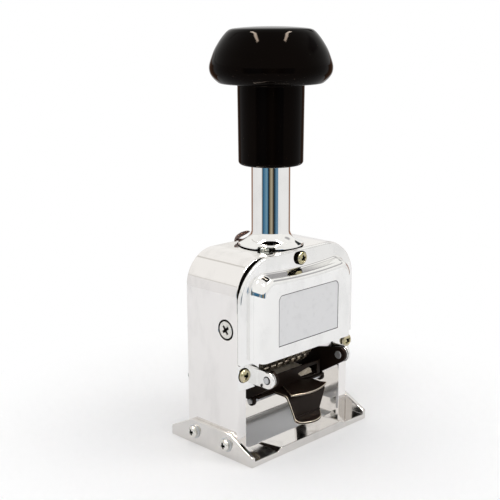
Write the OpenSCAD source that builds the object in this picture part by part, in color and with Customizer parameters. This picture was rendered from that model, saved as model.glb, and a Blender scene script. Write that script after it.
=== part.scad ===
// Hand numbering machine with seven number wheels, a swinging ink pad and a push knob.
// Millimetres. The paper lies at z = 0 and the knob's axis is x = y = 0.
// The front is towards -y, and the machine is drawn with its knob up.

/* [Base] */
// Width of the base over its side flanges
base_w = 71.4; // [71:0.1:73]
// Depth of the base
base_d = 48.8; // [44:0.1:56]
// Thickness of the base sheet
base_t = 2.4; // [2:0.1:2.8]
// Height of the side flanges where they clasp the frame
flange_h = 10.6; // [9.5:0.1:12]
// Length of the flanges' top edge
flange_top_d = 22.8; // [22:0.1:26]
// Height of the flanges at the base's corners
flange_end_h = 4; // [3.2:0.1:5]
// Distance from the knob's axis to the front edge of the printing window
window_front = 12.7; // [12:0.1:13]
// Distance from the knob's axis to the rear edge of the printing window
window_rear = 9.1; // [8:0.1:12]
// Width of the printing window
window_w = 52; // [40:0.5:56]
// Rise of the middle of the front lip
lip_rise = 1.2; // [0.6:0.1:1.2]
// Width of the raised lip
lip_w = 38; // [30:1:44]
// Depth of the raised lip
lip_d = 11.4; // [8:0.1:13]

/* [Frame] */
// Outside width of the frame
frame_w = 67.8; // [67.4:0.1:68.4]
// Depth of the frame
frame_d = 29.6; // [29.2:0.1:31]
// Distance from the knob's axis to the frame's front
frame_front = 14.3; // [14.1:0.1:14.6]
// Height of the frame's top
frame_h = 81.6; // [81:0.1:84]
// Outside radius of the frame's upper corners
frame_corner_r = 14.4; // [12:0.1:15]
// Thickness of the frame's sheet
sheet_t = 1.5; // [1.2:0.1:1.7]
// Width of the front and back strips folded in from the frame
strip_w = 5; // [4.6:0.1:5.4]

/* [Covers] */
// How far the front cover stands proud of the frame
cover_proud = 2.4; // [2:0.1:3]
// Wall of the front cover
cover_t = 1; // [0.8:0.1:1.2]
// Height of the cover's lower edge beside the bulge
cover_low_z = 40.2; // [39.6:0.1:41]
// Height of the bulge's lower edge
bulge_low_z = 40.4; // [40:0.1:41.2]
// How far the bulge stands out of the cover
bulge_out = 5.4; // [4:0.1:6]
// Width of the bulge where it leaves the cover
bulge_w = 56; // [54:0.1:57]
// Height of the bulge's top where it leaves the cover
bulge_top_z = 75; // [74:0.1:75.4]
// Radius of the bulge's front edges
bulge_edge_r = 2.4; // [1.6:0.1:3]
// Dip in the middle of the bulge's top, under the cover screw
bulge_dip = 1.4; // [0.8:0.1:1.6]
// Width of the bare panel on the bulge
panel_w = 36.4; // [30:0.1:40]
// Height of the bare panel
panel_h = 21.2; // [16:0.1:22]
// Thickness of the back cover
back_t = 1.2; // [1:0.1:1.6]
// Height of the back cover's lower edge
back_low_z = 22; // [16:0.5:26]

/* [Neck] */
// Radius of the neck tube
neck_r = 8.1; // [7.9:0.1:8.4]
// Radius of the neck tube's bore
neck_bore_r = 6.8; // [6.6:0.1:7]
// Radius of the neck's flared foot
flare_r = 13.7; // [13.4:0.1:14.4]
// Height of the flared foot
flare_h = 7; // [6:0.1:7.4]
// Height of the foot's edge
flare_edge_h = 0.9; // [0.7:0.1:1.1]
// How far the neck tube reaches up inside the knob at rest
neck_overlap = 8.8; // [5:0.1:10]

/* [Knob and plunger] */
// Height of the whole machine, from the paper to the knob's top
total_h = 170.6; // [169:0.1:176]
// Largest radius of the knob
knob_r = 24.7; // [23.5:0.1:27]
// Radius of the knob's crown
knob_crown_r = 17; // [15:0.1:18]
// Radius of the knob's skirt
skirt_r = 13.3; // [12.6:0.1:13.6]
// Height of the knob's skirt
skirt_h = 32.4; // [32:0.1:33]
// Height of the knob's cap over the skirt
cap_h = 23; // [21:0.1:26]
// Travel of the plunger
stroke = 27; // [25:0.1:27]
// Radius of the plunger rod
rod_r = 3; // [2.7:0.1:3.1]
// Wire radius of the return spring
spring_wire_r = 0.5; // [0.4:0.05:0.55]
// Turns of the return spring
spring_turns = 18; // [12:1:22]

/* [Number wheels] */
// Number of wheels
wheel_count = 7; // [5:1:7]
// Distance from one wheel to the next
wheel_pitch = 4.1; // [3.9:0.05:4.1]
// Radius of a wheel's rim
wheel_r = 12.1; // [11.8:0.1:12.1]
// Radius of the ratchet beside each wheel
ratchet_r = 9.2; // [8.4:0.1:9.4]
// Radius of the wheel axle
axle_r = 2; // [1.6:0.1:2.2]
// Height of the raised figures on a wheel
type_h = 0.4; // [0.3:0.1:0.5]
// Thickness of the yoke's cheeks
cheek_t = 1.6; // [1.3:0.1:1.8]

/* [Ink pad] */
// Distance of the pad holder's pivot in front of the knob's axis
pivot_front = 21; // [20.9:0.1:21.6]
// Height of the pad holder's pivot
pivot_z = 32.8; // [32.4:0.1:33]
// Radius of the pivot bosses
boss_r = 3.4; // [3:0.1:3.5]
// Width of the pad holder over its arms
holder_w = 44; // [43.6:0.1:44.4]
// Thickness of the pad holder's arms
arm_t = 1.55; // [1.3:0.05:1.7]
// Thickness of the ink pad
pad_t = 3.2; // [2.6:0.1:3.4]
// Depth of the ink pad
pad_d = 15; // [12:0.5:15]
// Radius of the front edge of the tray's tongue
tongue_r = 22; // [18:0.5:26]

/* [Hidden] */
$fn = 96;
hull_fn = 32;
tiny = 0.01;

// Clearances
run_gap = 0.04;
side_gap = 0.15;
seat_gap = 0.1;
cover_gap = 0.4;

// Frame and cover
front_y = -frame_front;
back_y = frame_d - frame_front;
cover_y = front_y - cover_proud;
bulge_y = cover_y - bulge_out;
inner_w = frame_w - 2 * sheet_t;
strip_mid_x = frame_w / 2 - strip_w / 2;
top_screw_z = frame_h - strip_w / 2 - 0.6;
rear_screw_x = frame_w / 2 - strip_w + 1.5;
rear_screw_z = back_low_z + 6;
rear_top_z = frame_h - strip_w / 2 - 1.1;
bulge_draft = 0.8;
bulge_corner_r = 7;
panel_low_z = 45.6;
panel_corner_r = 2.4;
panel_deep = 0.25;
leg_screw_y = 9.6;
leg_screw_z = 5.6;

// Fasteners: pan heads, their shanks and the holes for them
pan_r = 2.45;
pan_h = 1.7;
pan_shank_r = 1.2;
pan_hole_r = 1.25;
pan_end = 0.6;
leg_shank_r = 1.45;
leg_hole_r = 1.5;
leg_shank_l = 5.6;
leg_washer_r = 3;
leg_washer_t = 0.5;

// Neck, lock ring and spring
neck_top_z = total_h - cap_h - skirt_h + neck_overlap;
spigot_r = neck_r - 0.6;
spigot_bore_r = 4.6;
spigot_low_z = frame_h - 5.8;
ring_t = 1;
ring_z = frame_h + side_gap;
ring_out_r = flare_r - 2.1;
foot_roof_z = ring_z + ring_t + side_gap;
spring_low_z = frame_h + 5.2;
nut_h = 3.4;
nut_r = 11;
leaf_angles = [82, 134];
leaf_r = flare_r + 0.8;
leaf_t = 0.8;
leaf_h = 2;
leaf_rise = 1.7;
leaf_up = 1.9;

// Knob and rod
skirt_low_z = total_h - cap_h - skirt_h;
cavity_r = neck_r + 0.6;
cavity_top_z = neck_top_z + stroke + 1.3;
rod_top_z = total_h - 10.6;
lock_collar_r = 4.2;
lock_collar_h = 2;
lock_collar_z = ring_z - side_gap + stroke - lock_collar_h;
lug_angle = 300;
lug_half = 3.5;
key_half = 6;
spring_coil_r = 5.2;

// Yoke, wheels and combs
axis_z = stroke + wheel_r + type_h;
stack_half = (wheel_count * wheel_pitch) / 2;
pawl_cheek_t = 0.8;
pawl_x = stack_half + 0.05;
yoke_in_x = pawl_x + pawl_cheek_t + side_gap;
yoke_out_x = yoke_in_x + cheek_t;
washer_t = 2.5;
yoke_top_z = spigot_low_z - seat_gap - washer_t;
yoke_top_t = 3;
yoke_half_d = 7;
wing_y = -7.8;
wing_half = 1.4;
rod_low_z = yoke_top_z - yoke_top_t - 4.4;
drum_w = 2.9;
ratchet_w = 1;
wheel_gap = wheel_pitch - drum_w - ratchet_w;
tooth_r = ratchet_r - 1.5;
figures = 10;
finger_t = 0.6;
pawl_bar_r = 1.3;
pawl_bar_at = wheel_r + 2.3;
pawl_angle = 86;
finger_tip_r = ratchet_r + 0.3;
detent_y = -5.6;
detent_up = 17.5;
detent_w = 2.6;
detent_h = 4;
detent_angle = 112;
cheek_r = 4.2;
clip_t = 0.7;
rod_nut_r = 6;
rod_nut_h = 3.6;
buffer_r = 7;

// Guide rails
rail_in_x = 27.5;
rail_half_y = 4.2;
rail_low_z = axis_z + 1;
rail_top_z = yoke_top_z + 0.8;
wing_end_x = 29.6;
side_screw_z = 53.2;
side_screw_r = 1.5;
side_head_r = 4.15;

// Ears and pad holder
ear_t = 1.2;
arm_out_x = holder_w / 2;
arm_in_x = arm_out_x - arm_t;
ear_in_x = arm_out_x + 0.8;
ear_out_x = ear_in_x + ear_t;
ear_low_z = pivot_z - 3.6;
ear_top_z = cover_low_z - 0.3;
ear_screw_z = 35.6;
pin_r = 1.3;
pin_head_r = 1.7;
floor_z = 21.6;
floor_t = 1;
floor_back_y = 4.5;
floor_front_y = -13;
holder_pin_y = -9.8;
holder_pin_r = 1.1;
holder_pin_z = floor_z - holder_pin_r - 0.15;
tray_z = floor_z + floor_t + seat_gap;
tray_t = 0.7;
tray_half_w = 15.5;
tray_wall_y = -12.4;
tray_wall_t = 0.8;
tray_wall_half = 18.2;
tray_wall_h = 6.5;
tray_back_y = 4;
pad_half_w = 15;
apron_half = 11.4;
lip_half = 8;
apron_t = floor_t;
apron_run = 5.5;
apron_drop = 8.6;
fold_r = 3;
lip_fold_r = 2.5;
shoulder_z = floor_z - 1.2;
waist_z = floor_z - 9;
heel_z = floor_z - 0.8;
heel_front_y = -8.3;
apron_reach = 26.2;
tongue_reach = 25.4;
tongue_waist = 5.5;
tongue_half = 11;
view_left = 4;
view_right = 16.3;
view_high = 4.9;
view_slant = 7.4;
stud_y = -3;
stud_r = 1.4;
stud_z = axis_z - 4.9;

chrome = [0.86, 0.87, 0.89];
zinc = [0.80, 0.76, 0.62];
steel = [0.62, 0.63, 0.65];
black_steel = [0.10, 0.09, 0.09];
bronze = [0.46, 0.36, 0.24];
gloss_black = [0.05, 0.045, 0.04];
felt = [0.78, 0.72, 0.62];

// Lifts a flat outline drawn in x and z and gives it a depth from y0 to y1.
module along_y(y0, y1) {
    translate([0, y1, 0]) rotate([90, 0, 0]) linear_extrude(y1 - y0) children();
}

// Lifts a flat outline drawn in y and z and gives it a width from x0 to x1.
module along_x(x0, x1) {
    translate([x0, 0, 0]) rotate([90, 0, 90]) linear_extrude(x1 - x0) children();
}

// A rod along x.
module rod_x(x0, x1, y, z, r) {
    translate([x0, y, z]) rotate([0, 90, 0]) cylinder(h = x1 - x0, r = r);
}

// A rod along y.
module rod_y(y0, y1, x, z, r) {
    translate([x, y1, z]) rotate([90, 0, 0]) cylinder(h = y1 - y0, r = r);
}

// Both sides of the machine.
module both_sides() {
    children();
    mirror([1, 0, 0]) children();
}

// An upright outline with a straight foot and two round upper corners.
module arch(w, top, r, low) {
    translate([-w / 2, low]) square([w, top - r - low]);
    translate([-w / 2 + r, low]) square([w - 2 * r, top - low]);
    for (side = [-1, 1]) translate([side * (w / 2 - r), top - r]) circle(r);
}

// A flat sector of a ring between two angles under 180 degrees apart.
module sector(r0, r1, a0, a1) {
    reach = r1 * 2;
    intersection() {
        difference() {
            circle(r1);
            circle(r0);
        }
        polygon([[0, 0], reach * [cos(a0), sin(a0)], reach * [cos((a0 + a1) / 2), sin((a0 + a1) / 2)],
            reach * [cos(a1), sin(a1)]]);
    }
}

// Points of an arc about a centre.
function arc(c, r, a0, a1, steps) =
    [for (i = [0:steps]) let (a = a0 + (a1 - a0) * i / steps) c + r * [cos(a), sin(a)]];

// Points of a curve that leaves p0 towards p1 and comes to p2 from p1.
function bend(p0, p1, p2, steps) =
    [for (i = [0:steps]) let (t = i / steps) (1 - t) * (1 - t) * p0 + 2 * t * (1 - t) * p1 + t * t * p2];

// A pan head screw along z, its head up, seated at z = 0.
module pan_screw(head_r, head_h, shank_r, shank_l) {
    rotate_extrude() polygon(concat([[0, -shank_l], [shank_r, -shank_l], [shank_r, 0], [head_r, 0],
        [head_r, head_h * 0.45]], bend([head_r, head_h * 0.45], [head_r, head_h], [head_r * 0.45, head_h], 5),
        [[0, head_h]]));
}

// ---------------------------------------------------------------- base and frame

// The flange's outline, seen from the side.
module flange_outline() {
    polygon([[-base_d / 2, 0], [-base_d / 2, flange_end_h], [-flange_top_d / 2, flange_h],
        [flange_top_d / 2, flange_h], [base_d / 2, flange_end_h], [base_d / 2, 0]]);
}

// The raised lip's outline, seen from the front.
module lip_outline() {
    polygon([[-lip_w / 2 - lip_rise * 1.4, base_t - tiny], [-lip_w / 2, base_t + lip_rise],
        [lip_w / 2, base_t + lip_rise], [lip_w / 2 + lip_rise * 1.4, base_t - tiny]]);
}

module base_plate() {
    flange_t = (base_w - frame_w) / 2;
    color(chrome) difference() {
        union() {
            translate([-base_w / 2, -base_d / 2, 0]) cube([base_w, base_d, base_t]);
            both_sides() along_x(frame_w / 2, base_w / 2) flange_outline();
            along_y(-base_d / 2, -base_d / 2 + lip_d) lip_outline();
        }
        translate([-window_w / 2, -window_front, -1])
            cube([window_w, window_front + window_rear, base_t + lip_rise + 2]);
        both_sides() for (y = [-leg_screw_y, leg_screw_y])
            rod_x(frame_w / 2 - 1, base_w / 2 + 1, y, leg_screw_z, leg_hole_r);
    }
}

module outer_frame() {
    color(chrome) difference() {
        union() {
            along_y(front_y, back_y) difference() {
                arch(frame_w, frame_h, frame_corner_r, base_t);
                arch(inner_w, frame_h - sheet_t, frame_corner_r - sheet_t, base_t - 1);
            }
            for (y = [front_y, back_y - sheet_t]) along_y(y, y + sheet_t) difference() {
                arch(frame_w, frame_h, frame_corner_r, base_t);
                arch(frame_w - 2 * strip_w, frame_h - strip_w, frame_corner_r - strip_w, base_t - 1);
            }
        }
        translate([0, 0, frame_h - 2 * sheet_t]) cylinder(h = 3 * sheet_t, r = spigot_r + 0.05);
        both_sides() {
            translate([frame_w / 2 - sheet_t, wing_y, side_screw_z]) rotate([0, 90, 0])
                cylinder(h = sheet_t, r1 = side_screw_r + 0.55, r2 = side_head_r + 0.05);
            for (y = [-leg_screw_y, leg_screw_y])
                rod_x(frame_w / 2 - 2 * sheet_t, frame_w / 2 + 1, y, leg_screw_z, leg_hole_r);
            rod_y(front_y - 1, front_y + 2 * sheet_t, strip_mid_x, ear_screw_z, pan_hole_r);
            rod_y(back_y - 2 * sheet_t, back_y + 1, rear_screw_x, rear_screw_z, pan_hole_r);
        }
        rod_y(front_y - 1, front_y + 2 * sheet_t, 0, top_screw_z, pan_hole_r);
        rod_y(back_y - 2 * sheet_t, back_y + 1, 0, rear_top_z, pan_hole_r);
    }
}

// One flat slice of the bulge: inset from its root outline and lying at depth y.
module bulge_slice(inset, y, low) {
    along_y(y, y + tiny)
        arch(bulge_w - 2 * inset, bulge_top_z - inset, bulge_corner_r - inset / 2, low, $fn = hull_fn);
}

// The bulge: slightly drafted walls, then round front edges. wall moves every face inwards.
module bulge_block(wall, low) {
    straight = bulge_out - bulge_edge_r;
    hull() {
        bulge_slice(wall, cover_y + wall, low);
        for (a = [0:18:90])
            bulge_slice(wall + bulge_draft + (bulge_edge_r - wall) * (1 - cos(a)),
                cover_y - straight - (bulge_edge_r - wall) * sin(a), low);
    }
}

module front_cover() {
    dip_half = bulge_w / 2 - bulge_corner_r;
    dip_r = (dip_half * dip_half + bulge_dip * bulge_dip) / (2 * bulge_dip);
    color(chrome) difference() {
        union() {
            difference() {
                along_y(cover_y, front_y - cover_gap) arch(frame_w, frame_h, frame_corner_r, cover_low_z);
                along_y(cover_y + cover_t, front_y)
                    arch(frame_w - 2 * cover_t, frame_h - cover_t, frame_corner_r - cover_t, cover_low_z - 1);
            }
            rod_y(cover_y, front_y, 0, top_screw_z, 2.8);
            difference() {
                bulge_block(0, bulge_low_z);
                rod_y(bulge_y - 1, cover_y, 0, bulge_top_z - bulge_dip + dip_r, dip_r, $fn = 360);
            }
        }
        difference() {
            bulge_block(cover_t, bulge_low_z - 1);
            translate([-bulge_w / 2, bulge_y, bulge_top_z - bulge_dip - cover_t]) cube([bulge_w, 20, 10]);
        }
        rod_y(cover_y - 1, front_y + 1, 0, top_screw_z, pan_hole_r);
        along_y(bulge_y - tiny, bulge_y + panel_deep)
            arch(panel_w, panel_low_z + panel_h, panel_corner_r, panel_low_z);
    }
}

// The selector's dial centre and arc on the back cover.
dial_z = 60;
dial_slot_r = 10;
dial_half_angle = 40;
pointer_l = 14.6;
dial_pin_r = 1.5;
dial_hub_r = 3.6;
lever_t = 1;

// The back cover: a plate behind the frame's rear strips, pressed out flush with them.
module back_cover() {
    plate_y = back_y - sheet_t - back_t;
    plate_top = frame_h - sheet_t - seat_gap;
    field_w = frame_w - 2 * strip_w - 2 * seat_gap;
    field_top = frame_h - strip_w - seat_gap;
    field_r = frame_corner_r - strip_w;
    color(chrome) difference() {
        union() {
            along_y(plate_y, plate_y + back_t)
                arch(inner_w - 2 * seat_gap, plate_top, frame_corner_r - sheet_t, back_low_z);
            along_y(plate_y + tiny, back_y) arch(field_w, field_top, field_r, back_low_z);
        }
        along_y(plate_y - 1, back_y - back_t)
            arch(field_w - 2 * back_t, field_top - back_t, field_r - back_t, back_low_z - 1);
        rod_y(plate_y - 1, back_y + 1, 0, rear_top_z, pan_hole_r);
        both_sides() rod_y(plate_y - 1, back_y + 1, rear_screw_x, rear_screw_z, pan_hole_r);
        rod_y(plate_y - 1, back_y + 1, 0, dial_z, dial_pin_r + run_gap);
        along_y(plate_y - 1, back_y + 1) translate([0, dial_z])
            sector(dial_slot_r - 1.1, dial_slot_r + 1.1, 90 - dial_half_angle - 8, 90 + dial_half_angle + 8);
    }
}

// ---------------------------------------------------------------- neck and lock

// The neck's section, from its threaded spigot up to its open end.
module neck_section() {
    foot_z = frame_h + flare_edge_h;
    polygon(concat([[spigot_bore_r, spigot_low_z], [spigot_r, spigot_low_z], [spigot_r, foot_roof_z],
        [flare_r - 1.7, foot_roof_z], [flare_r - 1.7, frame_h], [flare_r, frame_h]],
        bend([flare_r, foot_z], [neck_r + 0.5, foot_z + flare_h * 0.24], [neck_r, frame_h + flare_h], 10),
        [[neck_r, neck_top_z - 0.4], [neck_r - 0.4, neck_top_z], [neck_bore_r, neck_top_z],
        [neck_bore_r, spring_low_z], [spigot_bore_r, spring_low_z]]));
}

// Angles of the foot's front notch and of the gap for the thumb tab.
nose_angles = [206, 221];
front_notch = [200.5, 232];
stem_angles = [112, 118];
back_notch = [110, 133];

module neck_tube() {
    cut_h = foot_roof_z - frame_h + 0.001;
    color(chrome) difference() {
        rotate_extrude() neck_section();
        translate([0, 0, frame_h - 0.001]) linear_extrude(cut_h) {
            sector(flare_r - 1.8, flare_r + 1, front_notch[0], front_notch[1]);
            sector(flare_r - 1.8, flare_r + 1, back_notch[0], back_notch[1]);
            sector(spigot_bore_r - 1, spigot_r + 0.2, lug_angle - lug_half - 1.5,
                lug_angle + lug_half + 11.5);
        }
    }
}

module neck_nut() {
    color(steel) difference() {
        translate([0, 0, frame_h - sheet_t - nut_h]) cylinder(h = nut_h, r = nut_r, $fn = 6);
        translate([0, 0, frame_h - sheet_t - nut_h - 1]) cylinder(h = nut_h + 2, r = spigot_r + 0.03);
    }
}

// The thumb tab: a leaf that follows the foot's edge and rises towards its free end.
module thumb_tab() {
    half = (leaf_angles[1] - leaf_angles[0]) / 2;
    slope = atan(leaf_rise / (2 * leaf_r * sin(half)));
    intersection() {
        translate([0, 0, ring_z]) linear_extrude(3 * leaf_h)
            sector(leaf_r, leaf_r + leaf_t, leaf_angles[0], leaf_angles[1]);
        rotate([0, 0, leaf_angles[0] + half]) translate([leaf_r, 0, ring_z + leaf_up]) rotate([-slope, 0, 0])
            cube([leaf_r, 2 * leaf_r, leaf_h], center = true);
    }
}

module lock_ring() {
    color(steel) {
        translate([0, 0, ring_z]) linear_extrude(ring_t) {
            difference() {
                circle(ring_out_r);
                circle(spigot_r + side_gap);
            }
            sector(rod_r + 0.4, spigot_r + 1, lug_angle - lug_half, lug_angle + lug_half);
            sector(spigot_r + 1, flare_r + 0.2, nose_angles[0], nose_angles[1]);
            sector(spigot_r + 1, leaf_r + leaf_t / 2, stem_angles[0], stem_angles[1]);
        }
        thumb_tab();
    }
}

// ---------------------------------------------------------------- fasteners

module cover_screws() {
    rear_l = sheet_t + back_t + pan_end;
    color(zinc) {
        translate([0, cover_y, top_screw_z]) rotate([90, 0, 0])
            pan_screw(pan_r, pan_h, pan_shank_r, cover_proud + sheet_t + pan_end);
        for (at = [[0, rear_top_z], [-rear_screw_x, rear_screw_z], [rear_screw_x, rear_screw_z]])
            translate([at[0], back_y, at[1]]) rotate([-90, 0, 0])
                pan_screw(pan_r, pan_h, pan_shank_r, rear_l);
    }
}

module side_screws() {
    color(zinc) both_sides() {
        translate([frame_w / 2 - sheet_t, wing_y, side_screw_z]) rotate([0, 90, 0])
            cylinder(h = sheet_t, r1 = side_screw_r + 0.5, r2 = side_head_r);
        rod_x(wing_end_x + 0.4, frame_w / 2 - sheet_t + tiny, wing_y, side_screw_z, side_screw_r);
    }
}

module base_screws() {
    color(zinc) both_sides() for (y = [-leg_screw_y, leg_screw_y])
        translate([base_w / 2 + leg_washer_t, y, leg_screw_z]) rotate([0, 90, 0])
            pan_screw(pan_r, pan_h, leg_shank_r, leg_shank_l);
}

module base_washers() {
    color(steel) both_sides() for (y = [-leg_screw_y, leg_screw_y])
        translate([base_w / 2, y, leg_screw_z]) rotate([0, 90, 0]) difference() {
            cylinder(h = leg_washer_t, r = leg_washer_r);
            translate([0, 0, -1]) cylinder(h = leg_washer_t + 2, r = leg_hole_r);
        }
}

module ear_screws() {
    color(zinc) both_sides() translate([strip_mid_x, front_y - ear_t, ear_screw_z]) rotate([90, 0, 0])
        pan_screw(pan_r, pan_h, pan_shank_r, ear_t + sheet_t + pan_end);
}

// ---------------------------------------------------------------- ears and pivots

// The right-hand ear: a tab screwed to the frame's front strip and a flange that holds the pivot.
module ear() {
    difference() {
        union() {
            along_y(front_y - ear_t, front_y) translate([ear_in_x, ear_low_z])
                square([frame_w / 2 - ear_in_x, ear_top_z - ear_low_z]);
            along_x(ear_in_x, ear_out_x) {
                translate([-pivot_front, ear_low_z])
                    square([pivot_front + front_y, 2 * (pivot_z - ear_low_z)]);
                translate([-pivot_front, pivot_z]) circle(pivot_z - ear_low_z);
            }
        }
        rod_x(ear_in_x - 1, ear_out_x + 1, -pivot_front, pivot_z, pin_r + 0.02);
        rod_y(front_y - ear_t - 1, front_y + 1, strip_mid_x, ear_screw_z, pan_hole_r);
    }
}

module ear_left() {
    color(chrome) mirror([1, 0, 0]) ear();
}

module ear_right() {
    color(chrome) ear();
}

module pivot_pins() {
    color(steel) both_sides() {
        rod_x(arm_in_x - 0.75, ear_out_x + 0.5, -pivot_front, pivot_z, pin_r);
        rod_x(arm_in_x - 0.75, arm_in_x - side_gap, -pivot_front, pivot_z, pin_head_r);
    }
}

module pivot_washers() {
    color(steel) both_sides() difference() {
        rod_x(arm_out_x + 0.06, ear_in_x - 0.04, -pivot_front, pivot_z, boss_r);
        rod_x(arm_out_x - 1, ear_in_x + 1, -pivot_front, pivot_z, pin_r + 0.02);
    }
}

// ---------------------------------------------------------------- guides and spring

// The right-hand guide rail, with a groove for the yoke's wing.
module guide_rail() {
    difference() {
        intersection() {
            translate([rail_in_x, wing_y - rail_half_y, rail_low_z])
                cube([inner_w / 2 - rail_in_x, 2 * rail_half_y, rail_top_z - rail_low_z]);
            along_y(front_y, back_y) arch(inner_w, frame_h - sheet_t, frame_corner_r - sheet_t, base_t);
        }
        translate([rail_in_x - 1, wing_y - wing_half - side_gap, rail_low_z - 1])
            cube([wing_end_x + 0.3 - rail_in_x + 1, 2 * (wing_half + side_gap), rail_top_z - rail_low_z + 2]);
        rod_x(wing_end_x, inner_w / 2 + 1, wing_y, side_screw_z, side_screw_r + 0.02);
    }
}

module guide_rail_left() {
    color(steel) mirror([1, 0, 0]) guide_rail();
}

module guide_rail_right() {
    color(steel) guide_rail();
}

// The return spring is one tube of wire swept along a helix.
spring_rings = 8;
spring_sides = 6;
spring_low = spring_low_z + spring_wire_r + 0.05;
spring_high = cavity_top_z - spring_wire_r - 0.05;
spring_pitch = (spring_high - spring_low) / spring_turns;
echo(spring_gap = spring_pitch - 2 * spring_wire_r);

function spring_point(i, j) =
    let (turn = i / spring_rings, a = 360 * turn, b = 360 * j / spring_sides,
        r = spring_coil_r + spring_wire_r * cos(b))
    [r * cos(a), r * sin(a), spring_low + spring_pitch * turn + spring_wire_r * sin(b)];

module return_spring() {
    last = spring_turns * spring_rings;
    points = [for (i = [0:last], j = [0:spring_sides - 1]) spring_point(i, j)];
    walls = [for (i = [0:last - 1], j = [0:spring_sides - 1])
        let (k = (j + 1) % spring_sides, a = i * spring_sides, b = a + spring_sides)
        each [[a + j, a + k, b + k], [a + j, b + k, b + j]]];
    low_cap = [for (j = [1:spring_sides - 2]) [0, j + 1, j]];
    top = last * spring_sides;
    high_cap = [for (j = [1:spring_sides - 2]) [top, top + j, top + j + 1]];
    color(steel) polyhedron(points, concat(walls, low_cap, high_cap));
}

// ---------------------------------------------------------------- knob, rod and yoke

// The knob's section: a slightly domed crown, a full round shoulder, a nearly flat underside, a hollow skirt.
module knob_section() {
    cap_z = total_h - cap_h;
    widest_z = total_h - 15.8;
    edge_r = 1.6;
    polygon(concat([[0, total_h], [knob_crown_r * 0.35, total_h - 0.1]],
        bend([knob_crown_r * 0.7, total_h - 0.45], [knob_crown_r + 0.7, total_h - 0.9],
            [knob_crown_r + 1.8, total_h - 3.2], 6),
        bend([knob_crown_r + 2.2, total_h - 3.8], [knob_r, widest_z + 6.9], [knob_r, widest_z], 9),
        bend([knob_r, widest_z], [knob_r, cap_z + 5.6], [knob_r - 1.5, cap_z + 4], 5),
        bend([knob_r - 2.4, cap_z + 2.5], [knob_r - 3.9, cap_z], [skirt_r + 4, cap_z], 5),
        [[skirt_r, cap_z - 0.6]],
        arc([skirt_r - 0.2 - edge_r, skirt_low_z + edge_r], edge_r, 0, -90, 5),
        [[cavity_r, skirt_low_z], [cavity_r, cavity_top_z], [rod_r + 0.02, cavity_top_z],
        [rod_r + 0.02, rod_top_z], [0, rod_top_z]]));
}

module knob() {
    color(gloss_black) rotate_extrude() knob_section();
}

module plunger_rod() {
    color(steel) difference() {
        union() {
            translate([0, 0, rod_low_z]) cylinder(h = rod_top_z - rod_low_z, r = rod_r);
            translate([0, 0, lock_collar_z]) cylinder(h = lock_collar_h, r = lock_collar_r);
        }
        translate([0, 0, lock_collar_z - 1]) linear_extrude(lock_collar_h + 2)
            sector(rod_r, lock_collar_r + 1, lug_angle - key_half, lug_angle + key_half);
    }
}

module rod_nut() {
    color(steel) translate([0, 0, yoke_top_z - yoke_top_t - rod_nut_h]) difference() {
        cylinder(h = rod_nut_h, r = rod_nut_r, $fn = 6);
        translate([0, 0, -1]) cylinder(h = rod_nut_h + 2, r = rod_r + 0.02);
    }
}

module stop_washer() {
    color(black_steel) translate([0, 0, yoke_top_z]) difference() {
        cylinder(h = washer_t, r = buffer_r);
        translate([0, 0, -1]) cylinder(h = washer_t + 2, r = rod_r + 0.02);
    }
}

// The yoke carries the wheels. Its wings slide in the rails, and its studs push the pad holder.
module yoke() {
    color(steel) difference() {
        union() {
            translate([-yoke_out_x, wing_y - wing_half, yoke_top_z - yoke_top_t])
                cube([2 * yoke_out_x, yoke_half_d - wing_y + wing_half, yoke_top_t]);
            translate([-wing_end_x, wing_y - wing_half, yoke_top_z - yoke_top_t])
                cube([2 * wing_end_x, 2 * wing_half, yoke_top_t]);
            both_sides() {
                along_x(yoke_in_x, yoke_out_x) {
                    translate([-yoke_half_d, axis_z])
                        square([2 * yoke_half_d, yoke_top_z - yoke_top_t / 2 - axis_z]);
                    translate([0, axis_z]) circle(yoke_half_d);
                }
                rod_x(yoke_in_x, arm_out_x + 0.2, stud_y, stud_z, stud_r);
            }
        }
        rod_x(-yoke_out_x - 1, yoke_out_x + 1, 0, axis_z, axle_r + 0.01);
        translate([0, 0, yoke_top_z - yoke_top_t - 1]) cylinder(h = yoke_top_t + 2, r = rod_r + 0.02);
    }
}

module wheel_axle() {
    color(steel) rod_x(-yoke_out_x - 1.5, yoke_out_x + 1.5, 0, axis_z, axle_r);
}

module axle_clips() {
    color(zinc) both_sides() translate([yoke_out_x + 0.1, 0, axis_z]) rotate([0, 90, 0]) difference() {
        cylinder(h = clip_t, r = axle_r + 1.5);
        translate([0, 0, -1]) cylinder(h = clip_t + 2, r = axle_r + 0.01);
        translate([axle_r * 0.4, -0.9, -1]) cube([2 * axle_r, 1.8, clip_t + 2]);
    }
}

// The middle of a wheel's stretch along the axle, counted from the left.
function wheel_x(i) = (i - (wheel_count + 1) / 2) * wheel_pitch;

// The middle of the gap beside a wheel, where its ratchet and its fingers run.
function finger_x(i) = wheel_x(i) - wheel_pitch / 2 + wheel_gap / 2 + ratchet_w / 2;

// One finger from a bar's centre to its tip over the ratchets, tapered.
module finger(i, root, tip, root_half, tip_half) {
    along = (tip - root) / norm(tip - root);
    side = [-along[1], along[0]];
    along_x(finger_x(i) - finger_t / 2, finger_x(i) + finger_t / 2)
        polygon([root + root_half * side, tip + tip_half * side, tip - tip_half * side,
            root - root_half * side]);
}

function round_axle(r, a) = [r * cos(a), axis_z + r * sin(a)];

// The detent comb: a bar in the yoke with a spring finger on each ratchet.
module detent_comb() {
    bar_z = axis_z + detent_up;
    color(bronze) {
        translate([-yoke_in_x, detent_y - detent_w / 2, bar_z - detent_h / 2])
            cube([2 * yoke_in_x, detent_w, detent_h]);
        for (i = [1:wheel_count])
            finger(i, [detent_y, bar_z - detent_h / 2 + 0.5], round_axle(finger_tip_r, detent_angle),
                0.8, 0.4);
    }
}

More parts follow.
